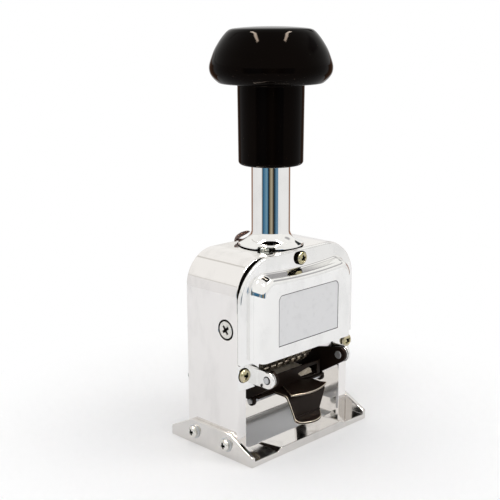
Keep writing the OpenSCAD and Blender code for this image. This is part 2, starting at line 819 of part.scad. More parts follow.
// The pawl frame rocks on the axle: two cheeks, a cross bar and a pawl for each ratchet.
module pawl_frame() {
    bar = round_axle(pawl_bar_at, pawl_angle);
    across = (pawl_bar_r + 0.3) * [-sin(pawl_angle), cos(pawl_angle)];
    color(bronze) {
        both_sides() along_x(pawl_x, pawl_x + pawl_cheek_t) difference() {
            union() {
                translate([0, axis_z]) circle(cheek_r);
                translate(bar) circle(pawl_bar_r + 0.4);
                polygon([round_axle(cheek_r - 0.1, pawl_angle + 90), bar + across, bar - across,
                    round_axle(cheek_r - 0.1, pawl_angle - 90)]);
            }
            translate([0, axis_z]) circle(axle_r + run_gap);
        }
        rod_x(-pawl_x - tiny, pawl_x + tiny, bar[0], bar[1], pawl_bar_r);
        for (i = [1:wheel_count])
            finger(i, bar, round_axle(finger_tip_r, pawl_angle + 7), 0.9, 0.35);
    }
}

// A wheel: a rim with a groove between each two figures, and a ratchet on its left.
module number_wheel(i) {
    left = wheel_x(i) - wheel_pitch / 2 + wheel_gap / 2;
    step = 360 / figures;
    color(bronze) difference() {
        union() {
            rod_x(left + ratchet_w, left + ratchet_w + drum_w, 0, axis_z, wheel_r);
            along_x(left, left + ratchet_w + tiny) translate([0, axis_z])
                polygon([for (k = [0:figures - 1]) each [ratchet_r * [cos(k * step), sin(k * step)],
                    tooth_r * [cos(k * step + 4), sin(k * step + 4)]]]);
        }
        rod_x(left - 1, left + wheel_pitch + 1, 0, axis_z, axle_r + run_gap);
        for (k = [0:figures - 1]) let (a = (k + 0.5) * step + 90)
            rod_x(left + ratchet_w - 0.05, left + wheel_pitch, (wheel_r + 0.35) * cos(a),
                axis_z + (wheel_r + 0.35) * sin(a), 0.85);
    }
}

module number_wheel_1() { number_wheel(1); }
module number_wheel_2() { number_wheel(2); }
module number_wheel_3() { number_wheel(3); }
module number_wheel_4() { number_wheel(4); }
module number_wheel_5() { number_wheel(5); }
module number_wheel_6() { number_wheel(6); }
module number_wheel_7() { number_wheel(7); }

// ---------------------------------------------------------------- ink pad

// An arm's outline, seen from the side: a boss, a hump under the yoke's stud, a deep heel.
module arm_outline() {
    polygon(concat(arc([-pivot_front, pivot_z], boss_r, 239, 78, 12),
        [[stud_y - 1.5, stud_z - stud_r - 0.7], [stud_y + 1.5, stud_z - stud_r - 1.4],
        [floor_back_y, floor_z + 3.4], [floor_back_y, heel_z], [heel_front_y, heel_z]]));
    translate([holder_pin_y, holder_pin_z]) circle(holder_pin_r + 0.9);
}

// The apron's section: the floor's front edge turns down, then out into a lip.
module apron_section() {
    fold = [floor_front_y - apron_run, floor_z + apron_t - fold_r];
    foot = [fold[0] - fold_r - lip_fold_r, floor_z - apron_drop];
    tip_y = -apron_reach - 1;
    polygon(concat([[floor_front_y + 1, floor_z + apron_t]], arc(fold, fold_r, 90, 180, 6),
        arc(foot, lip_fold_r, 0, -90, 6),
        [[tip_y, foot[1] - lip_fold_r], [tip_y, foot[1] - lip_fold_r - apron_t]],
        arc(foot, lip_fold_r + apron_t, -90, 0, 6), arc(fold, fold_r - apron_t, 180, 90, 6),
        [[floor_front_y + 1, floor_z]]));
}

// The apron's outline from the front: full width, then drawn in towards the lip.
module apron_front() {
    high = floor_z + 3;
    low = floor_z - 15;
    polygon([[-apron_half, high], [-apron_half, shoulder_z], [-lip_half, waist_z], [-lip_half, low],
        [lip_half, low], [lip_half, waist_z], [apron_half, shoulder_z], [apron_half, high]]);
}

// The apron's outline from above: straight sides, then the lip's round end.
module apron_plan() {
    round_r = lip_half + 1.2;
    front = floor_front_y - apron_run - fold_r - 0.3;
    translate([0, round_r - apron_reach]) circle(round_r);
    translate([-apron_half - 2, front]) square([2 * apron_half + 4, 0.5 - front]);
}

// The right-hand guide on the holder's floor, hooked over the tray's edge.
module tray_guide() {
    wall_x = tray_half_w + 0.2;
    lip_z = tray_z + tray_t + side_gap;
    along_y(tray_wall_y + tray_wall_t + 0.3, floor_back_y - 0.3)
        polygon([[wall_x, floor_z + floor_t / 2], [wall_x + 0.9, floor_z + floor_t / 2],
            [wall_x + 0.9, lip_z + 0.7], [wall_x - 0.5, lip_z + 0.7], [wall_x - 0.5, lip_z], [wall_x, lip_z]]);
}

module pad_holder() {
    color(black_steel) difference() {
        union() {
            both_sides() along_x(arm_in_x, arm_out_x) arm_outline();
            translate([-arm_in_x - tiny, floor_front_y, floor_z])
                cube([2 * (arm_in_x + tiny), floor_back_y - floor_front_y, floor_t]);
            both_sides() tray_guide();
            intersection() {
                along_x(-apron_half - 1, apron_half + 1) apron_section();
                along_y(-40, 0) apron_front();
                linear_extrude(60) apron_plan();
            }
        }
        both_sides() rod_x(arm_in_x - 1, arm_out_x + 1, -pivot_front, pivot_z, pin_r + run_gap);
        rod_x(-arm_out_x - 1, arm_out_x + 1, holder_pin_y, holder_pin_z, holder_pin_r);
    }
}

module holder_pin() {
    color(steel) rod_x(-arm_out_x - 0.7, arm_out_x + 0.7, holder_pin_y, holder_pin_z, holder_pin_r - 0.02);
}

// The tray's front wall has a window beside its middle, with a slanted edge.
module tray_window() {
    polygon([[view_left, (tray_t + 2 * view_high) / 3], [view_slant, tray_t], [view_right, tray_t],
        [view_right, view_high], [2 * view_slant - view_left + 1, view_high]]);
}

// The tongue's outline from above: narrow at the wall, spreading to a round front edge.
module tongue_plan() {
    corner_y = tongue_r - tongue_reach - sqrt(tongue_r * tongue_r - tongue_half * tongue_half);
    slant = (tongue_half - tongue_waist) / (tray_wall_y - corner_y);
    intersection() {
        translate([0, tongue_r - tongue_reach]) circle(tongue_r);
        polygon([[-tongue_waist, tray_wall_y + 0.2], [-tongue_half - 4 * slant, corner_y - 4],
            [-tongue_half, -tongue_reach - 1], [tongue_half, -tongue_reach - 1],
            [tongue_half + 4 * slant, corner_y - 4], [tongue_waist, tray_wall_y + 0.2]]);
    }
}

module pad_tray() {
    color(black_steel) {
        translate([0, 0, tray_z]) linear_extrude(tray_t) {
            translate([-tray_half_w, tray_wall_y]) square([2 * tray_half_w, tray_back_y - tray_wall_y]);
            tongue_plan();
        }
        translate([0, 0, tray_z]) along_y(tray_wall_y, tray_wall_y + tray_wall_t) difference() {
            translate([-tray_wall_half, 0]) square([2 * tray_wall_half, tray_wall_h]);
            tray_window();
        }
    }
}

module ink_pad() {
    color(felt) translate([-pad_half_w, tray_back_y - pad_d, tray_z + tray_t])
        cube([2 * pad_half_w, pad_d, pad_t]);
}

// ---------------------------------------------------------------- selector

// The selector: a pointer on the back cover that chooses how often a number repeats.
module selector_lever() {
    y0 = back_y + seat_gap;
    neck_z = dial_z + pointer_l - 1.6;
    color(chrome) difference() {
        union() {
            along_y(y0, y0 + lever_t) {
                translate([0, dial_z]) circle(dial_hub_r);
                polygon([[0.4 - dial_hub_r, dial_z], [-1.6, neck_z], [0, dial_z + pointer_l], [1.6, neck_z],
                    [dial_hub_r - 0.4, dial_z]]);
            }
            rod_y(back_y - 1.6, y0 + lever_t / 2, 0, dial_z + dial_slot_r, 0.95);
            rod_y(y0 + lever_t * 0.9, y0 + lever_t + 1.6, 0, dial_z + dial_slot_r, 1.9);
        }
        rod_y(y0 - 1, y0 + lever_t + 1, 0, dial_z, dial_pin_r + run_gap);
    }
}

module selector_pin() {
    y0 = back_y + seat_gap;
    color(zinc) translate([0, y0 + lever_t + seat_gap, dial_z]) rotate([-90, 0, 0])
        pan_screw(2.6, 1.2, dial_pin_r, lever_t + back_t + 1.4);
}

base_plate();
outer_frame();
front_cover();
back_cover();
neck_tube();
neck_nut();
lock_ring();
cover_screws();
side_screws();
base_screws();
base_washers();
ear_left();
ear_right();
ear_screws();
pivot_pins();
pivot_washers();
guide_rail_left();
guide_rail_right();
return_spring();
knob();
plunger_rod();
rod_nut();
stop_washer();
yoke();
wheel_axle();
axle_clips();
detent_comb();
pawl_frame();
number_wheel_1();
number_wheel_2();
number_wheel_3();
number_wheel_4();
number_wheel_5();
number_wheel_6();
number_wheel_7();
pad_holder();
holder_pin();
pad_tray();
ink_pad();
selector_lever();
selector_pin();
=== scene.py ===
"""The visible surfaces of a seven-wheel numbering machine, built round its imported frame.

Every size of the machine is in millimetres and becomes metres when a mesh is made. The frame is the
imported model's: +X to the right seen from the front, -Y towards the user, +Z up, the paper at z = 0.
"""

import logging
import math
from collections.abc import Iterable, Sequence
from dataclasses import dataclass
from enum import Enum

import bmesh
import bpy
import numpy as np
from mathutils import Matrix, Vector


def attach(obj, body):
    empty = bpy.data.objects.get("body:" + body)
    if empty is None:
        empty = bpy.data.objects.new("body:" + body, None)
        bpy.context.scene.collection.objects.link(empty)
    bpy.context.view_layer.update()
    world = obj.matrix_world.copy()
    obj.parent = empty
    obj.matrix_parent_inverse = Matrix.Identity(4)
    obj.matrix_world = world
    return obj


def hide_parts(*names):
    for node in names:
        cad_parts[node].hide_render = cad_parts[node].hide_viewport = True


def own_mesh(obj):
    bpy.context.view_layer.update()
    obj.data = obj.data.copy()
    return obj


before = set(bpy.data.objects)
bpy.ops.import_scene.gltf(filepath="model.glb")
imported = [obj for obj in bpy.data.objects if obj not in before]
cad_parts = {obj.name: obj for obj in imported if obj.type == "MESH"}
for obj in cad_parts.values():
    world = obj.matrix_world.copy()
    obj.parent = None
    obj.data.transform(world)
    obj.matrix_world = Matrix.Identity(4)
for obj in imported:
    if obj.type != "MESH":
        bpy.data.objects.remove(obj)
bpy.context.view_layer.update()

LOG = logging.getLogger("numbering_machine")
MM = 0.001
MERGE = 1e-6
Array = np.ndarray
Mesh = tuple[Array, list[list[int]]]
Outline = Sequence[tuple[float, float]]
Colour = tuple[float, float, float]
Stop = tuple[float, Colour]


# ------------------------------------------------------------------ sizes


@dataclass(frozen=True)
class Sizes:
    """The main sizes of the machine, as in the part's source but for a shallower dip over the bulge."""

    frame_w: float = 67.8
    frame_d: float = 29.6
    frame_front: float = 14.3
    frame_h: float = 81.6
    corner_r: float = 14.4
    sheet: float = 1.5
    strip_w: float = 5.0
    base_w: float = 71.4
    base_d: float = 48.8
    base_t: float = 2.4
    cover_proud: float = 2.4
    cover_low: float = 40.2
    bulge_out: float = 5.4
    bulge_w: float = 56.0
    bulge_top: float = 75.0
    bulge_low: float = 40.4
    bulge_edge: float = 2.4
    bulge_dip: float = 0.9
    bulge_corner: float = 7.0
    stroke: float = 27.0
    neck_r: float = 8.1
    neck_top: float = 124.0
    flare_r: float = 13.7
    flare_h: float = 7.0
    skirt_r: float = 13.3
    skirt_low: float = 115.2
    wheel_r: float = 12.1
    wheel_pitch: float = 4.1
    axis_z: float = 39.5
    type_h: float = 0.4

    @property
    def front(self) -> float:
        """Where the frame's front strips stand."""
        return -self.frame_front

    @property
    def rear(self) -> float:
        """Where the frame's rear strips stand."""
        return self.frame_d - self.frame_front

    @property
    def cover_face(self) -> float:
        """Where the front cover's flat face stands."""
        return self.front - self.cover_proud

    @property
    def bulge_face(self) -> float:
        """Where the bulge's front stands."""
        return self.cover_face - self.bulge_out

    @property
    def top_screw_z(self) -> float:
        """Height of the covers' upper screws."""
        return self.frame_h - self.strip_w / 2 - 0.6


SIZES = Sizes()


class Body(Enum):
    """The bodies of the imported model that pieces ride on."""

    FRAME = "frame"
    PLUNGER = "plunger"
    PAWLS = "pawls"
    HOLDER = "holder"
    TRAY = "tray"
    LOCK = "lock"
    SELECTOR = "selector"


class Slot(Enum):
    """Names of material slots."""

    SHEET = "chrome_sheet"
    NECK = "chrome_neck"
    ZINC = "zinc_screw"
    STEEL = "bright_steel"
    BLUED = "blued_steel"
    WHEEL = "wheel_metal"
    KNOB = "knob_plastic"
    RUBBER = "buffer_rubber"
    FELT = "pad_felt"


# ------------------------------------------------------------------ shader maths


class Port:
    """A shader socket whose arithmetic adds Math nodes."""

    def __init__(self, graph: "Graph", socket: bpy.types.NodeSocket) -> None:
        """Wraps one output socket of a graph."""
        self.graph = graph
        self.socket = socket

    def math(self, operation: str, first: "Port | float", second: "Port | float" = 0.0) -> "Port":
        """Adds one Math node.

        Args:
            operation: The Math node's operation.
            first: Its first value.
            second: Its second value.

        Returns:
            The node's result.
        """
        return self.graph.node("ShaderNodeMath", {"operation": operation}, {0: first, 1: second})

    def __add__(self, other: "Port | float") -> "Port":
        """Adds."""
        return self.math("ADD", self, other)

    __radd__ = __add__

    def __sub__(self, other: "Port | float") -> "Port":
        """Subtracts."""
        return self.math("SUBTRACT", self, other)

    def __rsub__(self, other: float) -> "Port":
        """Subtracts this from a number."""
        return self.math("SUBTRACT", other, self)

    def __mul__(self, other: "Port | float") -> "Port":
        """Multiplies."""
        return self.math("MULTIPLY", self, other)

    __rmul__ = __mul__

    def __truediv__(self, other: "Port | float") -> "Port":
        """Divides."""
        return self.math("DIVIDE", self, other)

    def __abs__(self) -> "Port":
        """Drops the sign."""
        return self.math("ABSOLUTE", self)

    def band(self, low: float, high: float, soft: float) -> "Port":
        """One between low and high, nought beyond them, with soft ends."""
        return self.rise(low - soft, low + soft) * (1.0 - self.rise(high - soft, high + soft))

    def rise(self, low: float, high: float) -> "Port":
        """A smooth step from nought at low to one at high."""
        return self.graph.node(
            "ShaderNodeMapRange",
            {"interpolation_type": "SMOOTHSTEP"},
            {0: self, 1: low, 2: high, 3: 0.0, 4: 1.0},
        )


class Graph:
    """A node tree that is filled by code."""

    def __init__(self, tree: bpy.types.NodeTree) -> None:
        """Clears a tree and takes it over."""
        self.tree = tree
        tree.nodes.clear()

    def node(self, kind: str, settings: dict, inputs: dict, output: int | str = 0) -> Port:
        """Adds one node of any kind, its settings first.

        Args:
            kind: The node's type.
            settings: Its settings; "stops" fills a colour ramp.
            inputs: Values or links of its sockets, by index or name.
            output: Which output is wanted.

        Returns:
            The chosen output.
        """
        made = self.tree.nodes.new(kind)
        for key, value in settings.items():
            if key == "stops":
                self._fill_ramp(made.color_ramp, value)
            else:
                setattr(made, key, value)
        for key, value in inputs.items():
            if isinstance(value, Port):
                self.tree.links.new(value.socket, made.inputs[key])
            else:
                made.inputs[key].default_value = value
        return Port(self, made.outputs[output]) if made.outputs else Port(self, None)

    @staticmethod
    def _fill_ramp(ramp: bpy.types.ColorRamp, stops: Sequence[Stop]) -> None:
        """Gives a ramp its stops."""
        while len(ramp.elements) < len(stops):
            ramp.elements.new(1.0)
        for element, (place, colour) in zip(ramp.elements, stops):
            element.position = place
            element.color = (*colour, 1.0)

    def place(self, scale: tuple[float, float, float] = (1.0, 1.0, 1.0)) -> Port:
        """The surface's own coordinates in metres, stretched by a scale."""
        where = self.node("ShaderNodeTexCoord", {}, {}, "Object")
        return self.node("ShaderNodeMapping", {}, {"Vector": where, "Scale": scale})

    def noise(self, where: Port, scale: float, detail: float = 3.0, roughness: float = 0.55) -> Port:
        """Cloudy noise between nought and one, with scale bumps to a metre."""
        return self.node(
            "ShaderNodeTexNoise",
            {},
            {"Vector": where, "Scale": scale, "Detail": detail, "Roughness": roughness},
        )

    def ramp(self, value: Port, stops: Sequence[Stop]) -> Port:
        """A colour picked along a ramp."""
        return self.node("ShaderNodeValToRGB", {"stops": stops}, {0: value})

    def mix(self, factor: Port, first: "Port | tuple", second: "Port | tuple") -> Port:
        """A colour between two."""
        one = first if isinstance(first, Port) else (*first, 1.0)
        two = second if isinstance(second, Port) else (*second, 1.0)
        return self.node("ShaderNodeMix", {"data_type": "RGBA"}, {0: factor, 6: one, 7: two}, 2)

    def bump(self, height: Port, distance_mm: float, under: Port | None = None) -> Port:
        """A normal bumped by a height of nought to one."""
        inputs = {"Height": height, "Strength": 1.0, "Distance": distance_mm * MM}
        if under is not None:
            inputs["Normal"] = under
        return self.node("ShaderNodeBump", {}, inputs)


# ------------------------------------------------------------------ finishes


@dataclass(frozen=True)
class Finish:
    """A finish: its name, and the shader that shows it."""

    name: str

    def material(self) -> bpy.types.Material:
        """Makes the material once, and returns it from then on."""
        known = bpy.data.materials.get(self.name)
        if known is not None:
            return known
        material = bpy.data.materials.new(self.name)
        material.use_nodes = True
        graph = Graph(material.node_tree)
        shader = graph.node("ShaderNodeBsdfPrincipled", {}, self.sockets(graph))
        graph.node("ShaderNodeOutputMaterial", {}, {"Surface": shader})
        return material

    def sockets(self, graph: Graph) -> dict:
        """The shader's sockets, by name."""
        raise NotImplementedError


@dataclass(frozen=True)
class PlatedSheet(Finish):
    """Plating over pressed sheet: mirror bright, a little wavy, faintly smeared and scratched."""

    tint: Colour = (0.90, 0.897, 0.885)
    roughness: float = 0.07
    wave_mm: float = 0.06
    wave_scale: float = 55.0
    smear: float = 0.10

    def sockets(self, graph: Graph) -> dict:
        """The plating's colour, roughness and waves."""
        where = graph.place()
        wave = graph.noise(where, self.wave_scale, 1.0)
        smear = graph.noise(graph.place((1.0, 1.0, 0.45)), 160.0, 4.0).rise(0.45, 0.72)
        scratch = graph.noise(graph.place((1.0, 1.0, 0.04)), 2600.0, 2.0).rise(0.66, 0.72)
        colour = graph.mix(smear, self.tint, tuple(0.94 * c for c in self.tint))
        normal = graph.bump(scratch, 0.002, graph.bump(wave, self.wave_mm))
        return {
            "Base Color": colour,
            "Metallic": 1.0,
            "Roughness": smear * self.smear + scratch * 0.05 + self.roughness,
            "Normal": normal,
        }


@dataclass(frozen=True)
class MachinedMetal(Finish):
    """Turned or stamped metal, with a fine grain, stains in its hollows and duller patches."""

    tint: Colour = (0.60, 0.60, 0.61)
    stain: Colour = (0.36, 0.33, 0.30)
    roughness: float = 0.22
    grain_mm: float = 0.012
    stain_from: float = 0.5

    def sockets(self, graph: Graph) -> dict:
        """The metal's colour, roughness and grain."""
        where = graph.place()
        patch = graph.noise(where, 420.0, 4.0).rise(self.stain_from, self.stain_from + 0.22)
        grain = graph.noise(where, 5200.0, 2.0)
        return {
            "Base Color": graph.mix(patch, self.tint, self.stain),
            "Metallic": 1.0,
            "Roughness": patch * 0.16 + grain * 0.08 + self.roughness,
            "Normal": graph.bump(grain, self.grain_mm),
        }


@dataclass(frozen=True)
class HeatedSteel(Finish):
    """Steel that is bright towards the machine's front and heat darkened towards its back."""

    bright: Colour = (0.52, 0.54, 0.50)
    dark: Colour = (0.075, 0.042, 0.035)

    def sockets(self, graph: Graph) -> dict:
        """The steel's colour, which turns along y, and its grain."""
        where = graph.place()
        along = graph.node("ShaderNodeSeparateXYZ", {}, {0: where}, 1)
        grain = graph.noise(where, 4200.0, 2.0)
        tone = graph.mix(graph.noise(where, 500.0), self.dark, tuple(1.8 * c for c in self.dark))
        return {
            "Base Color": graph.mix(along.rise(-0.002, 0.002), self.bright, tone),
            "Metallic": 1.0,
            "Roughness": grain * 0.1 + 0.25,
            "Normal": graph.bump(grain, 0.01),
        }


YELLOW_CLOUDS = ((0.24, 0.22, 0.11), (0.50, 0.46, 0.28), (0.60, 0.52, 0.38), (0.34, 0.35, 0.24))
SILVER_CLOUDS = ((0.52, 0.52, 0.48), (0.74, 0.73, 0.69), (0.80, 0.77, 0.74), (0.66, 0.67, 0.64))
# The point attribute that marks depth in a screw's recess, where the zinc is darkened as painted shade.
RECESS = "recess"


@dataclass(frozen=True)
class Passivated(Finish):
    """Passivated zinc: silver or pale gold, with rosy and greenish clouds."""

    roughness: float = 0.24
    clouds: tuple[Colour, ...] = YELLOW_CLOUDS

    def sockets(self, graph: Graph) -> dict:
        """The zinc's clouded colour, with painted shade darkening the recess."""
        where = graph.place()
        cloud = graph.noise(where, 700.0, 2.0)
        grain = graph.noise(where, 6400.0, 2.0)
        painted_shade = graph.node("ShaderNodeAttribute", {"attribute_name": RECESS}, {}, "Fac")
        plating = graph.ramp(cloud, list(zip((0.3, 0.45, 0.6, 0.8), self.clouds)))
        return {
            # Painted shade: the recess darkens to near-black with its mark.
            "Base Color": graph.mix(painted_shade.rise(0.1, 0.75), plating, (0.022, 0.019, 0.012)),
            "Metallic": 1.0,
            "Roughness": grain * 0.12 + painted_shade * 0.3 + self.roughness,
            "Normal": graph.bump(grain, 0.008),
        }


@dataclass(frozen=True)
class Enamel(Finish):
    """Thin dark lacquer on steel, worn to brown metal in places."""

    colour: Colour = (0.0068, 0.0042, 0.0030)
    worn: Colour = (0.13, 0.10, 0.08)

    def sockets(self, graph: Graph) -> dict:
        """The lacquer's colour, wear and orange peel."""
        where = graph.place()
        wear = graph.noise(where, 520.0, 5.0, 0.7).rise(0.68, 0.76)
        peel = graph.noise(where, 900.0, 2.0)
        tone = graph.mix(graph.noise(where, 140.0), self.colour, tuple(1.9 * c for c in self.colour))
        return {
            "Base Color": graph.mix(wear, tone, self.worn),
            "Metallic": wear * 0.8,
            "Roughness": peel * 0.12 + wear * 0.1 + 0.30,
            "Normal": graph.bump(peel, 0.02),
            "Specular IOR Level": 0.10,
            "Specular Tint": (1.0, 0.84, 0.74, 1.0),
        }


@dataclass(frozen=True)
class PolishedPlastic(Finish):
    """Polished black plastic with faint hairlines, a little dust and a warm body."""

    def sockets(self, graph: Graph) -> dict:
        """The plastic's colour and polish."""
        where = graph.place()
        dust = graph.noise(where, 2300.0, 2.0).rise(0.70, 0.78)
        hairline = graph.noise(graph.place((1.0, 1.0, 0.03)), 1900.0, 2.0).rise(0.64, 0.70)
        cloud = graph.noise(where, 60.0, 2.0)
        body = graph.mix(cloud, (0.0012, 0.0008, 0.0007), (0.0026, 0.0016, 0.0012))
        return {
            "Base Color": graph.mix(dust * 0.1, body, (0.10, 0.09, 0.08)),
            "Roughness": hairline * 0.04 + cloud * 0.02 + 0.03,
            "Normal": graph.bump(graph.noise(where, 120.0, 1.0), 0.02, graph.bump(hairline, 0.001)),
            "IOR": 1.10,
            "Specular Tint": (1.0, 0.84, 0.74, 1.0),
        }


@dataclass(frozen=True)
class SoftFelt(Finish):
    """Pressed wool felt, matted and fuzzy."""

    pale: Colour = (0.72, 0.64, 0.51)
    deep: Colour = (0.50, 0.42, 0.31)

    def sockets(self, graph: Graph) -> dict:
        """The felt's tufts and fibres."""
        where = graph.place()
        tuft = graph.noise(where, 900.0, 5.0, 0.7)
        fibre = graph.noise(graph.place((1.0, 0.2, 1.0)), 5200.0, 4.0, 0.7)
        return {
            "Base Color": graph.mix(tuft.rise(0.3, 0.7), self.deep, self.pale),
            "Roughness": 0.95,
            "Sheen Weight": 0.35,
            "Normal": graph.bump(fibre, 0.10, graph.bump(tuft, 0.25)),
        }


@dataclass(frozen=True)
class BlackRubber(Finish):
    """Matt rubber with a fine pitted skin."""

    def sockets(self, graph: Graph) -> dict:
        """The rubber's colour and pits."""
        where = graph.place()
        pit = graph.noise(where, 2600.0, 3.0)
        return {
            "Base Color": graph.mix(pit, (0.012, 0.012, 0.012), (0.035, 0.034, 0.032)),
            "Roughness": pit * 0.2 + 0.6,
            "Normal": graph.bump(pit, 0.03),
        }


@dataclass(frozen=True)
class Shade(Finish):
    """Painted shade: the darkness of a narrow gap, varied a little by noise."""

    def sockets(self, graph: Graph) -> dict:
        """The gap's painted shade: nearly black, varied a little by noise."""
        painted_shade = graph.noise(graph.place(), 1800.0, 2.0)
        return {
            "Base Color": graph.mix(painted_shade, (0.0015, 0.0013, 0.0012), (0.006, 0.005, 0.004)),
            "Roughness": painted_shade * 0.2 + 0.7,
            "Specular IOR Level": 0.0,
        }


SHEET = PlatedSheet("pressed_sheet")
SIDE_SHEET = PlatedSheet("frame_sheet", tint=(0.885, 0.864, 0.848), wave_mm=0.10, wave_scale=38.0)
BASE_SHEET = PlatedSheet("base_sheet", tint=(0.72, 0.70, 0.68), wave_mm=0.12, wave_scale=30.0, roughness=0.05)
TURNED = PlatedSheet("turned_neck", wave_mm=0.0, wave_scale=30.0, roughness=0.04, smear=0.05)
PLATE = MachinedMetal(
    "bare_plate", tint=(0.76, 0.76, 0.765), stain=(0.745, 0.745, 0.75), roughness=0.36, grain_mm=0.004
)
# Painted shade: a near-black, unreflecting material for pieces that stand where there is only shade.
PAINTED_GAP_SHADE = Shade("painted_gap_shade")
WORN_EDGE = MachinedMetal("worn_edge", tint=(0.80, 0.72, 0.60), stain=(0.62, 0.52, 0.42), roughness=0.3)
STEEL = MachinedMetal("bright_steel")
DARK_STEEL = HeatedSteel("lock_steel")
TYPE_METAL = MachinedMetal("type_metal", tint=(0.56, 0.50, 0.40), stain=(0.20, 0.16, 0.13), stain_from=0.42)
ZINC = Passivated("yellow_zinc")
BRIGHT_ZINC = Passivated("bright_zinc", 0.18, SILVER_CLOUDS)
LACQUER = Enamel("dark_lacquer")
KNOB_BLACK = PolishedPlastic("polished_black")
FELT = SoftFelt("ink_felt")
RUBBER = BlackRubber("buffer_rubber")


# ------------------------------------------------------------------ surfaces


def grid_faces(
    rows: int, columns: int, wrap_rows: bool = False, wrap_columns: bool = False
) -> list[list[int]]:
    """Quads between the neighbours of a grid of points.

    Args:
        rows: Number of rows.
        columns: Number of points in a row.
        wrap_rows: Whether the last row joins the first.
        wrap_columns: Whether a row's last point joins its first.

    Returns:
        Four point numbers for each quad.
    """
    row, column = np.meshgrid(
        np.arange(rows if wrap_rows else rows - 1),
        np.arange(columns if wrap_columns else columns - 1),
        indexing="ij",
    )
    next_row, next_column = (row + 1) % rows, (column + 1) % columns
    corners = [row * columns + column, row * columns + next_column]
    corners += [next_row * columns + next_column, next_row * columns + column]
    return np.stack(corners, -1).reshape(-1, 4).tolist()


def joined(parts: Iterable[Mesh]) -> Mesh:
    """Puts several meshes' points and faces in one."""
    points, faces, start = [], [], 0
    for some, quads in parts:
        points.append(some)
        faces.extend([[start + i for i in face] for face in quads])
        start += len(some)
    return np.vstack(points), faces


def turned(profile: Outline, steps: int = 96, closed: bool = True) -> Mesh:
    """Turns a profile round the z axis: x = r cos a, y = r sin a.

    Args:
        profile: Points (r, z) in order.
        steps: Number of steps round the axis.
        closed: Whether the profile's last point joins its first, as for a ring.

    Returns:
        The points and faces.
    """
    outline = np.asarray(profile, float)
    angle = np.linspace(0.0, 2 * math.pi, steps, endpoint=False)
    r, z = outline[:, 0, None], outline[:, 1, None]
    points = np.stack([r * np.cos(angle), r * np.sin(angle), z + 0 * angle], -1).reshape(-1, 3)
    return points, grid_faces(len(outline), steps, closed, True)


def ring(inner: float, outer: float, low: float, high: float, steps: int = 48) -> Mesh:
    """A flat ring round the z axis: the rectangle between two radii and two heights, turned."""
    return turned([(inner, low), (outer, low), (outer, high), (inner, high)], steps)


def upright_loop(line: Array, y: float) -> Array:
    """An outline (x, z) stood up at a depth y."""
    return np.column_stack([line[:, 0], np.full(len(line), y), line[:, 1]])


def level_loop(line: Array, z: float) -> Array:
    """An outline (x, y) laid at a height z."""
    return np.column_stack([line, np.full(len(line), z)])


def lofted(loops: Array, closed_loops: bool = True, caps: bool = True) -> Mesh:
    """Joins loops of as many points each, with a flat cap on the first and last.

    Args:
        loops: An array of loops, points and x, y, z.
        closed_loops: Whether each loop is closed.
        caps: Whether the ends are capped.

    Returns:
        The points and faces.
    """
    rows, columns = loops.shape[:2]
    faces = grid_faces(rows, columns, False, closed_loops)
    if caps:
        faces.append(list(range(columns)))
        faces.append([(rows - 1) * columns + i for i in reversed(range(columns))])
    return loops.reshape(-1, 3), faces


def tube(path: Array, radius: float, sides: int = 12) -> Mesh:
    """A round tube along a path: each ring is radius times (side cos b + up sin b) about a path point.

    Args:
        path: The points (x, y, z) of its middle line.
        radius: Its radius.
        sides: Number of points in a ring.

    Returns:
        The points and faces.
    """
    along = np.gradient(path, axis=0)
    along /= np.linalg.norm(along, axis=1, keepdims=True)
    side = np.cross(along, [0.0, 0.0, 1.0])
    side /= np.linalg.norm(side, axis=1, keepdims=True)
    up = np.cross(side, along)
    b = np.linspace(0, 2 * math.pi, sides, endpoint=False)[None, :, None]
    return lofted(path[:, None] + radius * (side[:, None] * np.cos(b) + up[:, None] * np.sin(b)))


def bend(start: Sequence[float], corner: Sequence[float], end: Sequence[float], steps: int = 12) -> Array:
    """A curve that leaves start towards corner and reaches end from it: the quadratic Bezier of the three."""
    t = np.linspace(0, 1, steps + 1)[:, None]
    return (1 - t) ** 2 * np.asarray(start) + 2 * t * (1 - t) * np.asarray(corner) + t**2 * np.asarray(end)


def smooth_line(knots: Outline, steps: int = 6) -> Array:
    """A smooth line through knots, each span a cubic whose end slopes are half its neighbours' difference.

    Args:
        knots: Points (r, z) in order.
        steps: Number of steps from one knot to the next.

    Returns:
        The line's points.
    """
    k = np.asarray(knots, float)
    padded = np.vstack([2 * k[0] - k[1], k, 2 * k[-1] - k[-2]])
    t = np.linspace(0, 1, steps, endpoint=False)[None, :, None]
    p0, p1, p2, p3 = (padded[i : i + len(k) - 1, None] for i in range(4))
    linear, square, cube = p2 - p0, 2 * p0 - 5 * p1 + 4 * p2 - p3, 3 * p1 - p0 - 3 * p2 + p3
    curve = 0.5 * (2 * p1 + linear * t + square * t**2 + cube * t**3)
    return np.vstack([curve.reshape(-1, 2), k[-1:]])


def arch_line(width: float, top: float, radius: float, low: float) -> Array:
    """An inverted U: a straight leg, a quarter circle, a span, a quarter circle and a leg.

    Args:
        width: Its outside width.
        top: Height of its span.
        radius: Radius of its corners.
        low: Height of its feet.

    Returns:
        Points (x, z), the same number for any sizes.
    """
    half = width / 2
    turn = np.linspace(math.pi, math.pi / 2, 15)
    leg = np.column_stack([np.full(9, -half), np.linspace(low, top - radius, 9, endpoint=False)])
    corner = np.column_stack([-half + radius + radius * np.cos(turn), top - radius + radius * np.sin(turn)])
    left = np.vstack([leg, corner])
    across = np.linspace(-half + radius, half - radius, 26)[1:-1]
    return np.vstack([left, np.column_stack([across, np.full(24, top)]), left[::-1] * [-1, 1]])


def moved(mesh: Mesh, matrix: Matrix) -> Mesh:
    """A mesh carried by a matrix in millimetres."""
    m = np.array(matrix)
    return mesh[0] @ m[:3, :3].T + m[:3, 3], mesh[1]


